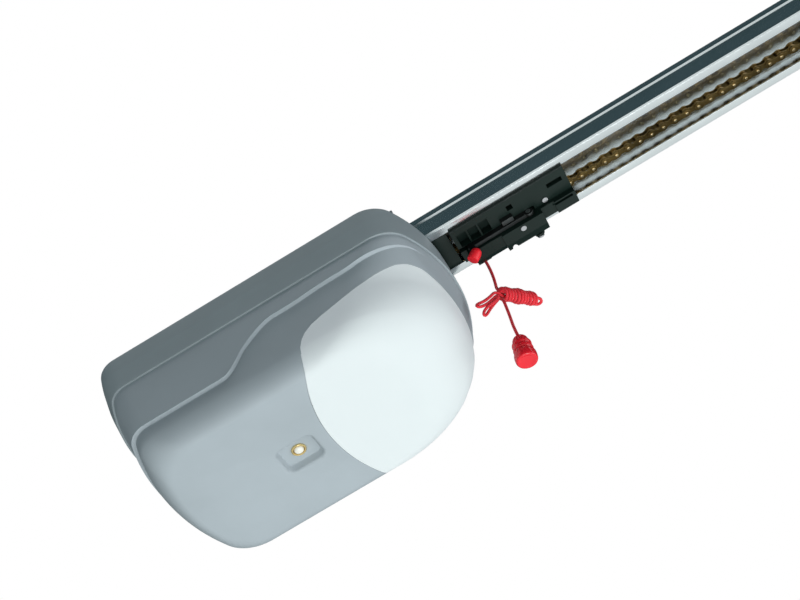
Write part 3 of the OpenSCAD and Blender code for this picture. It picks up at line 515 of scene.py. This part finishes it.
upper_cord = [EXIT + Vector(p) * MM for p in (
    (0, 0, 0), (0, 0, -8), (0, 0, -16), (-0.6, 0, -27), (-2.0, -0.5, -39), (-3.4, -1, -47),
    (-4, -1.5, -53))]
first_pass = [on_hank(*p) for p in (
    (1, -2.5, -1.0), (6, -2.6, 1.0), (14, -2.4, 1.5), (24, -2.4, 1.5), (33, -3.0, 2.2),
    (39, -3.8, 2.8), (43.5, -3.4, 3.2), (46, 0, 3.4), (43.5, 3.4, 3.2), (39, 3.6, 2.8),
    (33, 2.4, 1.8), (24, 2.2, 1.5), (14, 2.2, 1.5), (6, 2.0, 1.4))]
tail_fold = [on_tail(*p) for p in (
    (3, 3.2, 0.5), (11, 3.9, 0.5), (20, 4.8, 0), (28, 7.0, -0.6), (31.8, 7.2, 0.6),
    (30.0, 4.4, 1.2), (22, 1.6, 0.8), (13, 0.7, 0.2), (5, 0.4, 0), (3.4, -0.9, 1.8),
    (7, -1.9, 2.2), (15, -1.6, 2.6), (24, -0.9, 2.2), (31, -2.2, 0.8), (33.0, -4.6, 0.2),
    (30, -5.6, 0.4), (22, -4.2, 0.5), (12, -3.4, 0.2), (5, -2.9, -0.4))]
second_pass = [on_hank(*p) for p in (
    (1, -1.0, -3.0), (8, 0, -2.4), (16, 0, -2.4), (25, 0, -2.4), (32, 0.8, -2.6),
    (36.5, 3.2, -2.0))]
TURNS, POINTS_PER_TURN = 11, 16
wraps = []
for i in range(TURNS * POINTS_PER_TURN + 1):
    t = i / (TURNS * POINTS_PER_TURN)
    turn = math.tau * TURNS * t + 0.4
    radius = 5.2 + 0.5 * math.sin(5.1 * t * math.pi) + 0.9 * math.sin(math.pi * t)
    lean = 1.4 * math.sin(turn)
    wraps.append(on_hank(38.5 - 37.0 * t + lean, radius * math.cos(turn), radius * math.sin(turn)))
lower_cord = [EXIT + Vector(p) * MM for p in (
    (-4.3, -1.8, -69.5), (-5, -2.5, -79), (-6.5, -4, -94), (-8, -5, -106), (-8.7, -5.8, -116),
    (-9, -6, -124), (-9, -6, -127))]
CORD_STEP = 1.8 * MM
line = evened(curve_through(upper_cord + first_pass + tail_fold + second_pass + wraps
                            + lower_cord), CORD_STEP)

cord_data = bpy.data.curves.new("release_cord", "CURVE")
cord_data.dimensions = "3D"
cord_data.bevel_depth = CORD_D / 2
cord_data.bevel_resolution = 2
cord_data.use_fill_caps = True
spline = cord_data.splines.new("POLY")
spline.points.add(len(line) - 1)
for point, at in zip(spline.points, line):
    point.co = (*at, 1)
release_cord = bpy.data.objects.new("release_cord", cord_data)
bpy.context.scene.collection.objects.link(release_cord)
hand_over(release_cord, "pull_cord", "red_cord", FINISH["cord"],
          "cord_upper", "cord_hank", "cord_lower")

# %% [markdown]
# The knot is three short rings of the same cord, tilted different ways round the standing part,
# which is what an overhand knot looks like when it is pulled tight.

# %% Knot
def ring_of_cord(name, at, radius, tilt):
    select_only()
    bpy.ops.mesh.primitive_torus_add(major_segments=28, minor_segments=12, major_radius=radius,
                                     minor_radius=CORD_D / 2, location=at, rotation=tilt)
    return settle(rename(name))

knot_low, knot_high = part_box("cord_knot")
knot_mid = (knot_low + knot_high) / 2
knot = join("cord_knot_tied", [
    ring_of_cord("knot_a", knot_mid + Vector((0, 0, 0.4)) * MM, 2.0 * MM, (0.35, 0.2, 0)),
    ring_of_cord("knot_b", knot_mid + Vector((0, 0, -0.6)) * MM, 1.9 * MM, (-0.3, 0.5, 0.8)),
    ring_of_cord("knot_c", knot_mid, 1.5 * MM, (1.35, 0.1, 0.5))])
FINISH["knot"] = moulded("cord_knot_braid", (0.80, 0.010, 0.03), 0.6, 0.35, 900, 0.2)
hand_over(smooth(knot, 60), "pull_cord", "red_cord", FINISH["knot"], "cord_knot")

# %% [markdown]
# ## Handle
# The handle is a turned-looking moulding in glossy red plastic: a small dome, two soft ribs and a
# full skirt, dished a little underneath. It is one profile spun round its axis. The limp cord lets
# it hang a little askew.

# %% Handle
handle_low, handle_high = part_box("pull_handle")
handle_axis = Vector(((handle_low.x + handle_high.x) / 2, (handle_low.y + handle_high.y) / 2, 0))
profile = [
    (0.0, 0.0), (3.2, -0.2), (5.4, -1.4), (7.0, -3.6), (7.5, -6.0), (7.5, -7.6), (8.1, -8.4),
    (9.0, -9.4), (9.2, -10.8), (8.7, -12.2), (7.7, -13.2), (7.9, -14.2), (9.1, -15.2),
    (9.5, -16.6), (9.1, -18.0), (8.0, -19.0), (8.2, -20.0), (9.6, -21.0), (10.3, -22.6),
    (10.4, -25.4), (10.3, -28.6), (9.8, -30.4), (8.6, -31.0), (7.2, -30.7), (6.4, -30.3),
    (3.0, -30.1), (0.0, -30.1)]
HANDLE_LEAN = math.radians(-11)
handle = turned("pull_handle_bell", [(r * MM, z * MM) for r, z in profile], (0, 0, 0))
handle.matrix_world = (Matrix.Translation(handle_axis + Vector((0, 0, handle_high.z)))
                       @ Matrix.Rotation(HANDLE_LEAN, 4, back))
settle(handle)
add_modifier(handle, "SUBSURF", levels=1, render_levels=1)
apply_all(handle)
hand_over(smooth(handle, 80), "pull_cord", "red_plastic", FINISH["red"], "pull_handle")

# %% [markdown]
# ## Drive head
# The head is a deep moulded cover under a flat rim. Seen from above, its outline is a rectangle
# with bowed ends and round corners. Each level of the outline has three insets, for the sides, the
# rear and the front, and a corner and a bow radius for each end. Sizes here are in millimetres. A
# skin is a grid whose rows are those levels; it is closed round its seam and capped, and two skins
# make a wall of real thickness.

# %% Head outline
SEAM = -73.0
TOP, BASE = head_high.z * 1000, head_base * 1000
HALF, REAR, FRONT = head_high.y * 1000, -head_low.x * 1000, head_high.x * 1000
WALL = 2.5
# each level: how far the sides, rear and front draw in, then the corner and bow radii of the ends
AT_TOP = (0, 0, 0, 32, 185, 24, 180)
AT_SEAM = (2.5, 8, 0.5, 32, 185, 24, 180)
AT_END = (4.7, 22, 12, 75, 215, 21, 225)
AT_BASE = (25, 45, 80, 72, 150, 45, 185)
SIDE_H, END_H = 28, 52
DRAFT = 4.5

def arc(centre, radius, a, b, steps):
    return [(centre[0] + radius * math.cos(a + (b - a) * i / steps),
             centre[1] + radius * math.sin(a + (b - a) * i / steps)) for i in range(steps)]

def bowed_end(x, half, corner, bow):
    """Half of the outline: a corner, the bowed end and the other corner, going anticlockwise."""
    r = min(corner, half - 1)
    c = x - bow
    cx = c + math.sqrt((bow - r) ** 2 - (half - r) ** 2)
    a = math.atan2(half - r, cx - c)
    q = math.pi / 2
    return (arc((cx, r - half), r, -q, -a, 20) + arc((c, 0), bow, -a, a, 28)
            + arc((cx, half - r), r, a, q, 20) + [(cx, half)])

def outline(level, extra=0.0):
    side, rear, front, corner_f, bow_f, corner_r, bow_r = level
    half = HALF - side - extra
    ahead = bowed_end(FRONT - front - extra, half, max(corner_f - extra, 8), bow_f - extra)
    behind = [(-x, -y) for x, y in bowed_end(REAR - rear - extra, half,
                                             max(corner_r - extra, 6), bow_r - extra)]
    def straight(a, b, steps=56):
        return [(a[0] + (b[0] - a[0]) * i / steps, a[1] + (b[1] - a[1]) * i / steps)
                for i in range(1, steps)]
    return ahead + straight(ahead[-1], behind[0]) + behind + straight(behind[-1], ahead[0])

def mix(a, b, t):
    return tuple(p + (q - p) * t for p, q in zip(a, b))

def swell(h, height):
    s = min(1.0, max(0.0, 1 - h / height))
    return 1 - math.sqrt(1 - s * s)

def level_at(h):
    """The level at height h above the base: straight draft, then a quarter of an ellipse."""
    drop = SEAM - BASE
    if h > END_H:
        ends = mix(AT_SEAM, AT_END, min(1.0, (drop - h) / (drop - END_H)))
    else:
        ends = mix(AT_END, AT_BASE, swell(h, END_H))
    if h > SIDE_H:
        side = AT_SEAM[0] + DRAFT * max(0.0, (drop - h) / (drop - SIDE_H))
    else:
        foot = AT_SEAM[0] + DRAFT
        side = foot + (AT_BASE[0] - foot) * swell(h, SIDE_H)
    return (side,) + ends[1:]

def skin(name, rings):
    """A closed body through rings of points, with flat caps on its first and last rings."""
    around, levels = len(rings[0]), len(rings)
    select_only()
    bpy.ops.mesh.primitive_grid_add(x_subdivisions=around, y_subdivisions=levels - 1, size=1)
    piece = rename(name)
    for j, ring in enumerate(rings):
        for i in range(around + 1):
            piece.data.vertices[j * (around + 1) + i].co = [v * MM for v in ring[i % around]]
    bpy.ops.object.mode_set(mode="EDIT")
    bpy.ops.mesh.select_all(action="SELECT")
    bpy.ops.mesh.remove_doubles(threshold=2e-6)
    bpy.ops.mesh.select_all(action="DESELECT")
    bpy.ops.mesh.select_non_manifold(extend=False, use_wire=False, use_multi_face=False,
                                     use_non_contiguous=False, use_verts=False)
    bpy.ops.mesh.fill_holes(sides=0)
    bpy.ops.mesh.select_all(action="SELECT")
    bpy.ops.mesh.normals_make_consistent(inside=False)
    bpy.ops.object.mode_set(mode="OBJECT")
    return piece

def soft_step(x, a, b):
    t = min(1.0, max(0.0, (x - a) / (b - a)))
    return t * t * (3 - 2 * t)

print("outline of", len(outline(AT_TOP)), "points")

# %% [markdown]
# The rim has a soft crease round its middle: it swells a little down to the crease and draws in
# below it, and its lower edge stands about a millimetre proud of the cover, which draws a bright
# line. Its top is open, and the chassis plate lies in the opening.

# %% Rim
CREASE = (TOP + SEAM) / 2 + 1.0
EASE = 3.0

def rim_ring(z, extra=0.0):
    crease = (0, 3, 0) + AT_TOP[3:]
    if z > CREASE:
        level = mix(crease, (1.0, 1.4, 0.8) + AT_TOP[3:], (z - CREASE) / (TOP - CREASE))
        round_off = max(0.0, EASE - (TOP - z))
        extra += EASE - math.sqrt(max(0.0, EASE ** 2 - round_off ** 2))
    else:
        proud = tuple(v - 0.9 for v in AT_SEAM[:3]) + AT_SEAM[3:]
        level = mix(crease, proud, (CREASE - z) / (CREASE - SEAM))
    return [(x, y, z) for x, y in outline(level, extra)]

heights = [TOP, TOP - 0.4, TOP - 1, TOP - 2, TOP - 3, TOP - 8, TOP - 14, CREASE + 1.2, CREASE,
           CREASE - 1.2, SEAM + 12, SEAM + 5, SEAM + 0.5]
rim_out = skin("rim", [rim_ring(z) for z in heights] + [
    [(x, y, SEAM + 0.1) for x, y, _ in rim_ring(SEAM, 0.12)],
    [(x, y, SEAM + 0.0) for x, y, _ in rim_ring(SEAM, 0.35)]])
rim_in = skin("rim_inside", [[(x, y, z) for x, y, _ in rim_ring(min(z, TOP - 3.1), inset)]
                             for z, inset in ((TOP + 2, 2.2), (CREASE, 3.4), (SEAM - 3, 3.4))])
rim = smooth(cut(rim_out, rim_in), 28)
print("rim of", len(rim.data.polygons), "faces")

# %% [markdown]
# The cover carries the head's one styling line: a ledge that runs level round the rear, climbs in
# an S along each side and fades out on the front corner. Below it the wall steps in by STEP. The
# line's height is made of soft steps, one for the S and two for the slow rise after it. The skin
# has three groups of rows: above the ledge, on it, and below it down to the rounded foot.

# %% Cover skin
STEP, LEDGE_LOW, LEDGE_HIGH, LEDGE_FOOT = 3.6, -129.0, -93.6, 20
LEDGE_DEPTH = 0.9
FOOT_ROWS = 14

def ledge_at(x):
    climb = soft_step(x, -14, 46)
    lift = 2.8 * soft_step(x, 60, 108) + 8.0 * soft_step(x, 122, 176)
    return LEDGE_LOW + (LEDGE_HIGH - LEDGE_LOW) * climb + lift

def fade_at(x):
    return 1 - soft_step(x, 140, 176)

def lean_out(z):
    """Above the ledge the wall stands nearly upright: this takes back most of its draft."""
    return min(1.6, DRAFT * (SEAM - z) / (SEAM - BASE - SIDE_H) * 0.8)

def above_ledge(line_z, fade, base, share):
    z = SEAM + (line_z - SEAM) * share
    tuck = -1.0 * (1 - soft_step(share, 0.0, 0.3))
    return z, lean_out(z) * fade + tuck

def on_ledge(line_z, fade, base, place_on_ledge):
    sink, inward = place_on_ledge
    return line_z - sink, (lean_out(line_z) - STEP * max(0.0, inward)) * fade

def below_ledge(line_z, fade, base, share):
    start = line_z - LEDGE_DEPTH
    z = start + (base + LEDGE_FOOT - start) * share
    return z, (lean_out(line_z) - STEP) * fade * (1 - share)

def cover_point(k, columns, z, step_out, extra, base):
    """One column's point at height z: the plain drafted wall, moved out or in by the ledge."""
    key = (round(z, 3), round(extra, 3))
    if key not in columns:
        columns[key] = outline(level_at(z - base), extra)
    ring = columns[key]
    ahead, behind = ring[(k + 1) % len(ring)], ring[k - 1]
    dx, dy = ahead[0] - behind[0], ahead[1] - behind[1]
    size = math.hypot(dx, dy)
    x, y = ring[k]
    return (x + dy / size * step_out, y - dx / size * step_out, z)

def cover_rings(extra=0.0, base=BASE):
    columns, rings = {}, []
    guide = outline(AT_SEAM)
    for rule, values in (
            (above_ledge, (0.0, 0.02, 0.12, 0.3, 0.5, 0.7, 0.85, 0.95)),
            (on_ledge, ((-0.5, -0.15), (0.0, 0.5), (0.25, 0.8), (0.35, 1.0), (LEDGE_DEPTH, 1.0))),
            (below_ledge, (0.04, 0.12, 0.25, 0.4, 0.55, 0.7, 0.85, 1.0))):
        for value in values:
            rings.append([
                cover_point(k, columns, *rule(ledge_at(x), fade_at(x), base, value), extra, base)
                for k, (x, _) in enumerate(guide)])
    for i in range(1, FOOT_ROWS + 1):
        z = base + LEDGE_FOOT * (1 - math.sin(i / FOOT_ROWS * math.pi / 2))
        rings.append([cover_point(k, columns, z, 0, extra, base) for k in range(len(guide))])
    return rings

outer = skin("cover_outer", cover_rings())
inner_rings = cover_rings(WALL, BASE + WALL)
inner_rings[0] = [(x, y, SEAM + 4) for x, y, _ in inner_rings[0]]
inner = skin("cover_inner", inner_rings)
shell = cut(outer, inner)
print("cover shell of", len(shell.data.polygons), "faces")

# %% [markdown]
# ## Lens
# The lens is a milky window that wraps the front of the cover. Its edge is where two shapes meet:
# a curved line seen from the side, and a wide arc seen from below. The same wall is split by that
# shape, once for the window in the cover and once, a gap smaller, for the lens.

# %% Lens
LENS_X, LENS_ARC, LENS_GAP = 22, 190, 0.35

def lens_zone(name, gap):
    arch = [(-10, -5), (-10, 14), (45, 14), (46.5, 20), (50, 27), (55, 33), (63, 37.8), (74, 41),
            (88, 44), (103, 47.4), (130, 56.7), (149, 62.6), (158, 63.8), (166, 63), (175, 58.5),
            (FRONT + 20, 55), (FRONT + 20, -5)]
    side = [(x + (gap if x < 100 else 0), z - (gap if z > 28 else 0)) for x, z in arch]
    side_tool = prism(name, [(x * MM, (BASE + z) * MM) for x, z in side], "Y", -0.13, 0.13)
    rows = [-119 + 7 * i for i in range(35)]
    plan = [(LENS_X + gap + LENS_ARC - math.sqrt(LENS_ARC ** 2 - y * y), y) for y in rows]
    plan += [(FRONT + 20, 119), (FRONT + 20, -119)]
    plan_tool = prism(name + "_plan", [(x * MM, y * MM) for x, y in plan], "Z",
                      (BASE - 6) * MM, (BASE + 70) * MM)
    return cut(side_tool, plan_tool, "INTERSECT")

window_tool = lens_zone("window_tool", 0.0)
select_only(shell)
bpy.ops.object.duplicate()
lens = rename("lamp_lens_milky")
cut(lens, lens_zone("lens_tool", LENS_GAP), "INTERSECT")
cover = cut(shell, window_tool)
hand_over(smooth(lens, 28), "lens", "lens_white", FINISH["lens"], "lamp_lens")

# %% [markdown]
# ## Pocket for the push-button
# A shallow square pocket in the base holds the button. Its mouth flares, so the edge reads soft.
# The tool is a stack of rounded squares, and a boolean sinks it into the cover.

# %% Pocket and rim hand-over
def rounded_square(half_x, half_y, radius, at, z):
    ring = []
    for n, (sx, sy) in enumerate(((1, -1), (1, 1), (-1, 1), (-1, -1))):
        centre = (at[0] + sx * (half_x - radius), at[1] + sy * (half_y - radius))
        a = -math.pi / 2 + n * math.pi / 2
        ring += arc(centre, radius, a, a + math.pi / 2, 8) + [
            (centre[0] + radius * math.cos(a + math.pi / 2),
             centre[1] + radius * math.sin(a + math.pi / 2))]
    return [(x, y, z) for x, y in ring]

BUTTON_X, POCKET_DEPTH, FLOOR_ROWS = -9, 7.0, 3
# half length, half width, corner radius and height above the base, from the floor to the mouth
POCKET = ((15.6, 13.4, 4.0, POCKET_DEPTH), (16.2, 14.0, 4.6, 6.8), (17.0, 14.8, 5.4, 5.9),
          (18.2, 16.0, 6.6, 2.0), (18.8, 16.6, 7.2, 1.0), (19.8, 17.6, 8.2, 0.3),
          (21.2, 19.0, 9.6, -0.05), (21.4, 19.2, 9.8, -3.0))

def pocket_body(name, grow, deeper):
    return skin(name, [
        rounded_square(a + grow, b + grow, r + grow, (BUTTON_X, 0),
                       BASE + height + (deeper if row < FLOOR_ROWS else 0))
        for row, (a, b, r, height) in enumerate(POCKET)])

outside = pocket_body("pocket_wall", WALL, WALL)
trim = block("pocket_trim", (-0.06, -0.05, (BASE - 20) * MM), (0.05, 0.05, (BASE + 0.6) * MM))
cut(outside, trim)
cut(cover, outside, "UNION")
cut(cover, pocket_body("pocket_tool", 0.0, 0.0))
cut(cover, bar("bezel_bore", 6.2 * MM, (BUTTON_X * MM, 0, (BASE + 4) * MM),
               (BUTTON_X * MM, 0, (BASE + 14) * MM), 48))
hand_over(smooth(cover, 28), "root", "cover_grey", FINISH["cover"], "lower_cover")
hand_over(rim, "root", "housing_grey", FINISH["rim"], "upper_housing")

# %% [markdown]
# ## Button and its ring
# The ring is polished brass, turned with a rolled lip. The button is a small ivory dome.

# %% Button and ring
button_at = (BUTTON_X * MM, 0, (BASE + POCKET_DEPTH) * MM)
ring = turned("button_ring_brass", [(r * MM, z * MM) for r, z in (
    (5.0, 6.0), (5.0, -0.9), (5.4, -1.7), (6.2, -1.9), (6.9, -1.4), (7.1, -0.6), (7.1, -0.1),
    (6.1, -0.1), (6.1, 6.0), (5.0, 6.0))], button_at)
hand_over(smooth(ring, 40), "root", "brass_ring", FINISH["brass"], "button_bezel")
dome = turned("push_button_dome", [(r * MM, z * MM) for r, z in (
    (0, 5.0), (4.5, 5.0), (4.5, -0.8), (4.2, -1.7), (3.4, -2.5), (2.2, -3.0), (1.0, -3.2),
    (0, -3.25))], button_at)
hand_over(smooth(dome, 50), "button", "button_white", FINISH["ivory"], "push_button")

# %% [markdown]
# ## Roller chain
# Half-inch roller chain: inner and outer plates take turns, with a roller on every pin. One inner
# and one outer link are modelled, waisted as pressed plates are, and then copied pin to pin along
# the loop: two long runs and a half turn round each sprocket. The bright pins are a piece of their
# own, because they have their own finish.

# %% Chain
def plate(name, z_low, z_high, half_width):
    waist = half_width * 0.6
    points = []
    for centre, start in ((PITCH / 2, -math.pi / 2), (-PITCH / 2, math.pi / 2)):
        points += [(centre + half_width * math.cos(start + math.pi * i / 4),
                    half_width * math.sin(start + math.pi * i / 4)) for i in range(5)]
        points += [(0, waist if centre > 0 else -waist)]
    return prism(name, points, "Z", z_low, z_high)

PIN_R, ROLLER_R, PLATE = 0.0017, 0.0036, 0.0010

def chain_link(name, gap, thick, half_width, pins):
    parts = [plate(name + "_t", gap, gap + thick, half_width),
             plate(name + "_b", -gap - thick, -gap, half_width)]
    for x in (-PITCH / 2, PITCH / 2):
        reach = gap + thick * 0.5 if pins else gap
        radius = PIN_R if pins else ROLLER_R
        parts.append(bar(name + "_p", radius, (x, 0, -reach), (x, 0, reach), 8))
    return join(name, parts)

inner_link = chain_link("inner_link", 0.0016, PLATE, 0.0044, False)
outer_link = chain_link("outer_link", 0.0030, PLATE, 0.0041, True)
pin = bar("pin", PIN_R, (0, 0, -0.0046), (0, 0, 0.0046), 10, 0.0003)
drive_x = (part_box("drive_sprocket")[0].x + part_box("drive_sprocket")[1].x) / 2
idler_x = (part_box("idler_sprocket")[0].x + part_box("idler_sprocket")[1].x) / 2
run = idler_x - drive_x
pitches = int(round(run / PITCH))

def loop_point(s):
    """A point on the chain's loop, s metres round from the drive end of the +Y run."""
    half_turn = SPROCKET_TEETH / 2 * PITCH
    if s < run:
        return Vector((drive_x + s, PITCH_R, 0))
    s -= run
    if s < half_turn:
        a = math.pi / 2 - math.pi * s / half_turn
        return Vector((idler_x + PITCH_R * math.cos(a), PITCH_R * math.sin(a), 0))
    s -= half_turn
    if s < run:
        return Vector((idler_x - s, -PITCH_R, 0))
    a = -math.pi / 2 - math.pi * (s - run) / half_turn
    return Vector((drive_x + PITCH_R * math.cos(a), PITCH_R * math.sin(a), 0))

total = 2 * pitches + SPROCKET_TEETH
whole = 2 * run + SPROCKET_TEETH * PITCH
pins = [loop_point(whole * i / total) for i in range(total)]

def copies(name, placed):
    """Copies of small templates, each with its place, joined into one piece."""
    made = []
    for template, at, angle in placed:
        copy = bpy.data.objects.new("copy", template.data)
        bpy.context.scene.collection.objects.link(copy)
        copy.matrix_world = (Matrix.Translation(at + Vector((0, 0, CHAIN_Z)))
                             @ Matrix.Rotation(angle, 4, "Z"))
        made.append(copy)
    select_only(*made)
    bpy.ops.object.make_single_user(object=True, obdata=True)
    return smooth(settle(join(name, made)), 30)

links = []
for i, here in enumerate(pins):
    after = pins[(i + 1) % total]
    links.append((outer_link if i % 2 else inner_link, (here + after) / 2,
                  math.atan2(after.y - here.y, after.x - here.x)))
roller_chain = copies("roller_chain", links)
chain_pins = copies("chain_pins", [(pin, here, 0.0) for here in pins])
for template in (inner_link, outer_link, pin):
    bpy.data.objects.remove(template)
hand_over(roller_chain, "root", "chain_steel", FINISH["chain"], "chain")
hand_over(chain_pins, "root", "chain_steel", FINISH["pin"], "chain")

# %% [markdown]
# ## Dressed solids
# Moulded and pressed pieces whose shape is already right in the solids only lack broken edges.
# A copy of the solid is merged, its flat faces are made whole again, and its sharp edges get a
# small even radius, so that they catch the light.

# %% Dressed solids
def dress(node, finish, bevel):
    source = nodes[node]
    piece = bpy.data.objects.new(node + "_dressed", source.data.copy())
    bpy.context.scene.collection.objects.link(piece)
    piece.matrix_world = source.matrix_world.copy()
    settle(piece)
    bpy.ops.object.mode_set(mode="EDIT")
    bpy.ops.mesh.select_all(action="SELECT")
    bpy.ops.mesh.remove_doubles(threshold=1e-5)
    bpy.ops.mesh.dissolve_limited(angle_limit=math.radians(1.5))
    bpy.ops.object.mode_set(mode="OBJECT")
    add_modifier(piece, "BEVEL", width=bevel * MM, segments=2, limit_method="ANGLE",
                 angle_limit=math.radians(40), use_clamp_overlap=True)
    apply_all(piece)
    body = next(b for b, held in frame["record"]["behaviour"]["bodies"].items() if node in held)
    entry = next(e for e in frame["record"]["subparts"] if e["node"] == node)
    return hand_over(smooth(piece, 30), body, entry["material_slot"], finish, node)

for node, finish, bevel in (
        ("rail", "rail", 0.25), ("release_lever", "black", 0.4),
        ("latch", "blackened", 0.25), ("latch_arm", "blackened", 0.2),
        ("release_knob", "knob", 0.5), ("stop_rear", "black", 0.5), ("stop_front", "black", 0.5),
        ("header_bracket", "zinc", 0.4), ("rail_end_bracket", "zinc", 0.3),
        ("ceiling_plate", "zinc", 0.4), ("rail_clamp", "zinc", 0.3)):
    dress(node, FINISH[finish], bevel)

# %% [markdown]
# ## Finishes for the pieces that stay as they are
# Hidden works and small hardware keep their solid shapes. Each takes the finish of its slot.

# %% Finishes by slot
BY_SLOT = {
    "housing_grey": "rim", "cover_grey": "cover", "lens_white": "lens", "zinc_steel": "zinc",
    "steel": "steel", "dark_steel": "dark_steel", "chain_steel": "chain", "cast_alloy": "cast",
    "black_plastic": "black", "white_plastic": "white", "red_plastic": "red", "red_cord": "knot",
    "brass_ring": "brass", "button_white": "ivory", "board_green": "board",
    "parts_black": "component", "core_brown": "core", "bulb_glass": "glass"}
for entry in frame["record"]["subparts"]:
    solid = nodes[entry["node"]]
    solid.data.materials.clear()
    solid.data.materials.append(FINISH[BY_SLOT[entry["material_slot"]]])
print("finished", len(nodes), "solids")

# %% [markdown]

# %% [markdown]
# ## Floor
# A wide pale floor, well below the opener. It glows a little, so that it stays even and throws
# light back up on the underside, and bright metal has something pale to mirror.

# %% Floor
select_only()
bpy.ops.mesh.primitive_plane_add(size=14, location=(1.2, 0, -2.6))
floor_piece = rename("floor_pale")
bpy.ops.object.mode_set(mode="EDIT")
bpy.ops.mesh.subdivide(number_cuts=3)
bpy.ops.object.mode_set(mode="OBJECT")
settle(floor_piece)
floor_paint = moulded("floor_paint", (0.86, 0.87, 0.87), 0.7, 0.02, 60, 0.01)
floor_shader = floor_paint.node_tree.nodes["Principled BSDF"]
floor_shader.inputs["Emission Color"].default_value = (0.97, 1.0, 0.99, 1)
floor_shader.inputs["Emission Strength"].default_value = 0.62
floor_piece.data.materials.append(floor_paint)
print("floor at", round(floor_piece.data.vertices[0].co.z, 2))

# %% Update the view layer
bpy.context.view_layer.update()
